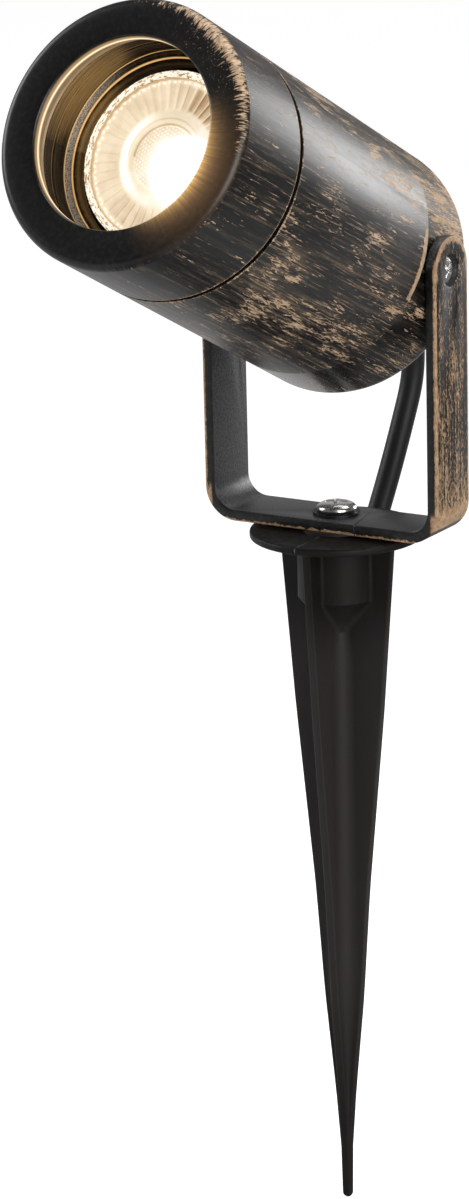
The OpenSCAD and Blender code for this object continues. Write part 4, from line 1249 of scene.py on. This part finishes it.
class SPOT_OT_spike(bpy.types.Operator):
    """Mould the spike: tapering cross of blades, boss, cone and flange"""

    bl_idname = "spot.spike"
    bl_label = "Spike"

    def execute(self, context):
        heights = [0.6, -9, -boss_end, -boss_end - 0.3]
        heights += [-boss_end - cone_length * k / 5 for k in range(1, 6)]
        heights += [-boss_end - cone_length - 3, -boss_end - cone_length - 7]
        heights += [-44 - 8 * k for k in range(20)] + [tip_r - spike_length]
        rings = [self.section(z, self.reach(z)) for z in heights]
        for degrees in (20, 40, 60, 78):
            a = math.radians(degrees)
            rings.append(self.section(tip_r - spike_length - tip_r * math.sin(a), tip_r * math.cos(a)))
        mesh = bmesh.new()
        loops = [[mesh.verts.new(point) for point in ring] for ring in rings]
        for upper, lower in zip(loops, loops[1:]):
            for k in range(len(upper)):
                mesh.faces.new((upper[k - 1], lower[k - 1], lower[k], upper[k]))
        mesh.faces.new(loops[0])
        mesh.faces.new(reversed(loops[-1]))
        data = bpy.data.meshes.new("spike_moulding")
        mesh.to_mesh(data)
        mesh.free()
        spike = bpy.data.objects.new("spike_moulding", data)
        context.scene.collection.objects.link(spike)
        flange_r, edge = spike_high.x, 0.6 * MM
        profile = [(0, 0)] + arc(flange_r - edge, edge, edge, -90, 0, 4)
        profile += arc(flange_r - edge, flange_top - edge, edge, 0, 90, 4) + [(0, flange_top)]
        flange = turned("flange", profile, closed=False, place=None)
        spike = smooth(joined("spike_moulding", [spike, flange]), 28)
        dress(spike, self.finish(), "spike_plastic", "spike", "spike")
        return {"FINISHED"}

    def reach(self, z):
        """Half the width over two blades at a height in mm, from shares of the length."""
        depths = [0, 0.253, 0.52, 0.685, 0.83, 0.93, 1 - tip_r / spike_length]
        widths = [1, 0.77, 0.47, 0.333, 0.165, 0.09, tip_r / blade_reach]
        depth = max(0, -z / spike_length)
        for k in range(len(depths) - 1):
            if depth <= depths[k + 1]:
                break
        share = min(1, (depth - depths[k]) / (depths[k + 1] - depths[k]))
        return blade_reach * (widths[k] + (widths[k + 1] - widths[k]) * share)

    def section(self, z, reach):
        """Points round the cross of blades at a height, with soft valleys round boss and cone."""
        half, corner, lap = blade_thickness / 2, 0.45, 0.25
        below = -z - boss_end
        fillet = 1.2 if below <= 0 else min(4.6, 1.2 + 0.2 * below)
        fillet = max(0.2, min(fillet, reach - corner - 2.5 * lap - half))
        boss = boss_radius if below <= 0 else max(0, boss_radius - cone_narrowing * below / cone_length)
        valley = math.sqrt(2) * (half + fillet) - fillet
        side = arc(reach - corner, half - corner, corner, 0, 90, 3) + [(reach - corner - lap, half)]
        if boss > 1.03 * valley:
            middle = math.sqrt((boss + fillet) ** 2 - (half + fillet) ** 2)
            turn = math.degrees(math.atan2(half + fillet, middle))
            side += [(middle + lap, half)] + arc(middle, half + fillet, fillet, 270, 180 + turn, 5)
            bottom = arc(0, 0, boss, turn, 90 - turn, 6)[1:-1]
        else:
            side.append((half + fillet + lap, half))
            bottom = arc(half + fillet, half + fillet, fillet, 270, 180, 16)
        quarter = side + bottom + [(y, x) for x, y in reversed(side)]
        rounding = min(1, max(0, (-z / spike_length - 0.8) / 0.1))
        points = []
        for k in range(4):
            spin = Matrix.Rotation(k * math.pi / 2, 2)
            for point in quarter:
                p = spin @ Vector(point)
                p = p.lerp(p.normalized() * reach, rounding)
                points.append((p.x * MM, p.y * MM, z * MM))
        return points

    def finish(self):
        """Dark nylon with a faint parting line across the flange."""
        colour = bpy.context.scene.spot_colours.plastic
        finish = Finish("spike_nylon", Specular_IOR_Level=0.25)
        x, _, z = finish.place.split()
        line = x.near(0.0, 0.4 * MM) * z.step(-MM, 0.0)
        catch = x.near(0.4 * MM, 0.3 * MM) * z.step(-MM, 0.0) * finish.place.noise(2).step(0.45, 0.6)
        cloud = finish.place.noise(7)
        flow = finish.place.noise((3, 3, 25), 3.0, 0.6)
        base = cloud.mix(colour, scaled(colour, 1.6))
        base = catch.mix(base, (0.2, 0.2, 0.2))
        pale = (z.step(-(boss_end - 6) * MM, -(boss_end + 2 * cone_length) * MM)
                * z.step(-0.9 * spike_length * MM, -0.6 * spike_length * MM, 0.3, 1.0))
        base = pale.mix(base, (0.032, 0.0275, 0.0265))
        finish.set(Base_Color=line.mix(base, scaled(colour, 0.3)), Roughness=flow.step(0.3, 0.7, 0.44, 0.6))
        grain = finish.place.noise(0.3, 2.0)
        return finish.bump(grain * 0.3 - line * 1.5, 0.05)


# The stage


class SPOT_OT_stage(bpy.types.Operator):
    """Set the pale floor and the soft studio lights"""

    bl_idname = "spot.stage"
    bl_label = "Floor and lights"

    def execute(self, context):
        scene = context.scene
        scene.view_settings.view_transform = "Standard"
        deselect()
        bpy.ops.mesh.primitive_plane_add(size=6, location=(0, 0, spike_low.z - 0.5 * MM))
        floor = named("floor")
        floor.data.materials.append(self.floor_paint())
        self.world(scene)
        self.lamp("left_light", (-1.5, -0.35, 0.75), (0.9, 0.9), 13)
        self.lamp("right_light", (1.5, -0.9, 0.45), (1.3, 1.3), 21)
        self.lamp("top_light", (0.1, 0.5, 1.6), (1.0, 1.0), 16)
        self.lamp("back_light", (0.30, 1.45, 0.14), (0.5, 0.42), 4.2)
        return {"FINISHED"}

    def floor_paint(self):
        """Pale floor that the camera sees as nearly white, with the object's shadow on it."""
        finish = Finish("pale_floor", Roughness=0.8, Specular_IOR_Level=0.1)
        x, y, _ = finish.place.split()
        away = distance(x, y)
        seen, mirrored = finish.rays()
        pale = away.step(0.3, 0.8).mix((0.82, 0.82, 0.82), (0.2, 0.2, 0.2))
        finish.set(Base_Color=mirrored.mix(pale, (0.12, 0.12, 0.12)))
        seen = seen * away.step(0.3, 0.8, 0.72, 0.95)
        paler = x.step(0.02, -0.22, 0.05, 0.6) + x.near(0.2, 0.18) * 0.4
        mirrored = mirrored * paler
        return finish.set(Emission_Color=(1, 1, 1), Emission_Strength=highest(seen, mirrored))

    def world(self, scene):
        """White surroundings for the camera and the glass, a dim studio for the rest."""
        world = bpy.data.worlds.new("studio")
        scene.world = world
        world.use_nodes = True
        nodes = Nodes(world.node_tree)
        seen, mirrored = nodes.rays()
        where = nodes.value("TexCoord", "Generated")
        for centre, edge, full, strength in [((0.26, 0.96, 0.1), 0.93, 0.98, 1.0),
                                             ((-0.5, 0.82, 0.27), 0.86, 0.98, 0.4)]:
            toward = nodes.value("VectorMath", "Value", {0: where, 1: Vector(centre).normalized()},
                                 operation="DOT_PRODUCT")
            patch = nodes.value("MapRange", "Result", {"Value": toward, "From Min": edge, "From Max": full,
                                                       "To Max": strength})
            seen = highest(seen, mirrored * patch)
        sky = nodes.tree.nodes["Background"].inputs
        nodes.feed(sky["Color"], (1, 1, 1))
        nodes.feed(sky["Strength"], highest(seen, 0.09))

    def lamp(self, name, place, size, power):
        """A soft light of a width and height, aimed at the middle of the head."""
        deselect()
        bpy.ops.object.light_add(type="AREA", location=place)
        light = bpy.context.active_object
        light.name = name
        light.data.shape = "RECTANGLE"
        light.data.size, light.data.size_y = size
        light.data.energy = power
        aim = Vector((0, -0.03, 0.05)) - Vector(place)
        light.rotation_euler = aim.to_track_quat("-Z", "Y").to_euler()


class SPOT_PT_panel(bpy.types.Panel):
    """Lists the steps of the spotlight in the sidebar"""

    bl_label = "Garden Spike Spotlight"
    bl_idname = "SPOT_PT_panel"
    bl_space_type = "VIEW_3D"
    bl_region_type = "UI"
    bl_category = "Spotlight"

    def draw(self, context):
        for step in steps:
            self.layout.operator(step.bl_idname)
        for group in groups:
            settings = getattr(context.scene, group)
            for name in settings.__annotations__:
                self.layout.prop(settings, name)


groups = {"spot_camera": CameraSizes, "spot_cord": CordSizes, "spot_head": HeadSizes,
          "spot_colours": FinishColours}
steps = [SPOT_OT_camera, SPOT_OT_cord, SPOT_OT_housing, SPOT_OT_bezel, SPOT_OT_lens, SPOT_OT_lamp,
         SPOT_OT_inside, SPOT_OT_bracket, SPOT_OT_screws, SPOT_OT_spike, SPOT_OT_stage]


def register():
    for item in [*groups.values(), *steps, SPOT_PT_panel]:
        bpy.utils.register_class(item)
    for name, group in groups.items():
        setattr(bpy.types.Scene, name, PointerProperty(type=group))


def unregister():
    for name in groups:
        delattr(bpy.types.Scene, name)
    for item in reversed([*groups.values(), *steps, SPOT_PT_panel]):
        bpy.utils.unregister_class(item)


def main():
    register()
    for step in steps:
        family, name = step.bl_idname.split(".")
        getattr(getattr(bpy.ops, family), name)()


if __name__ == "__main__":
    main()
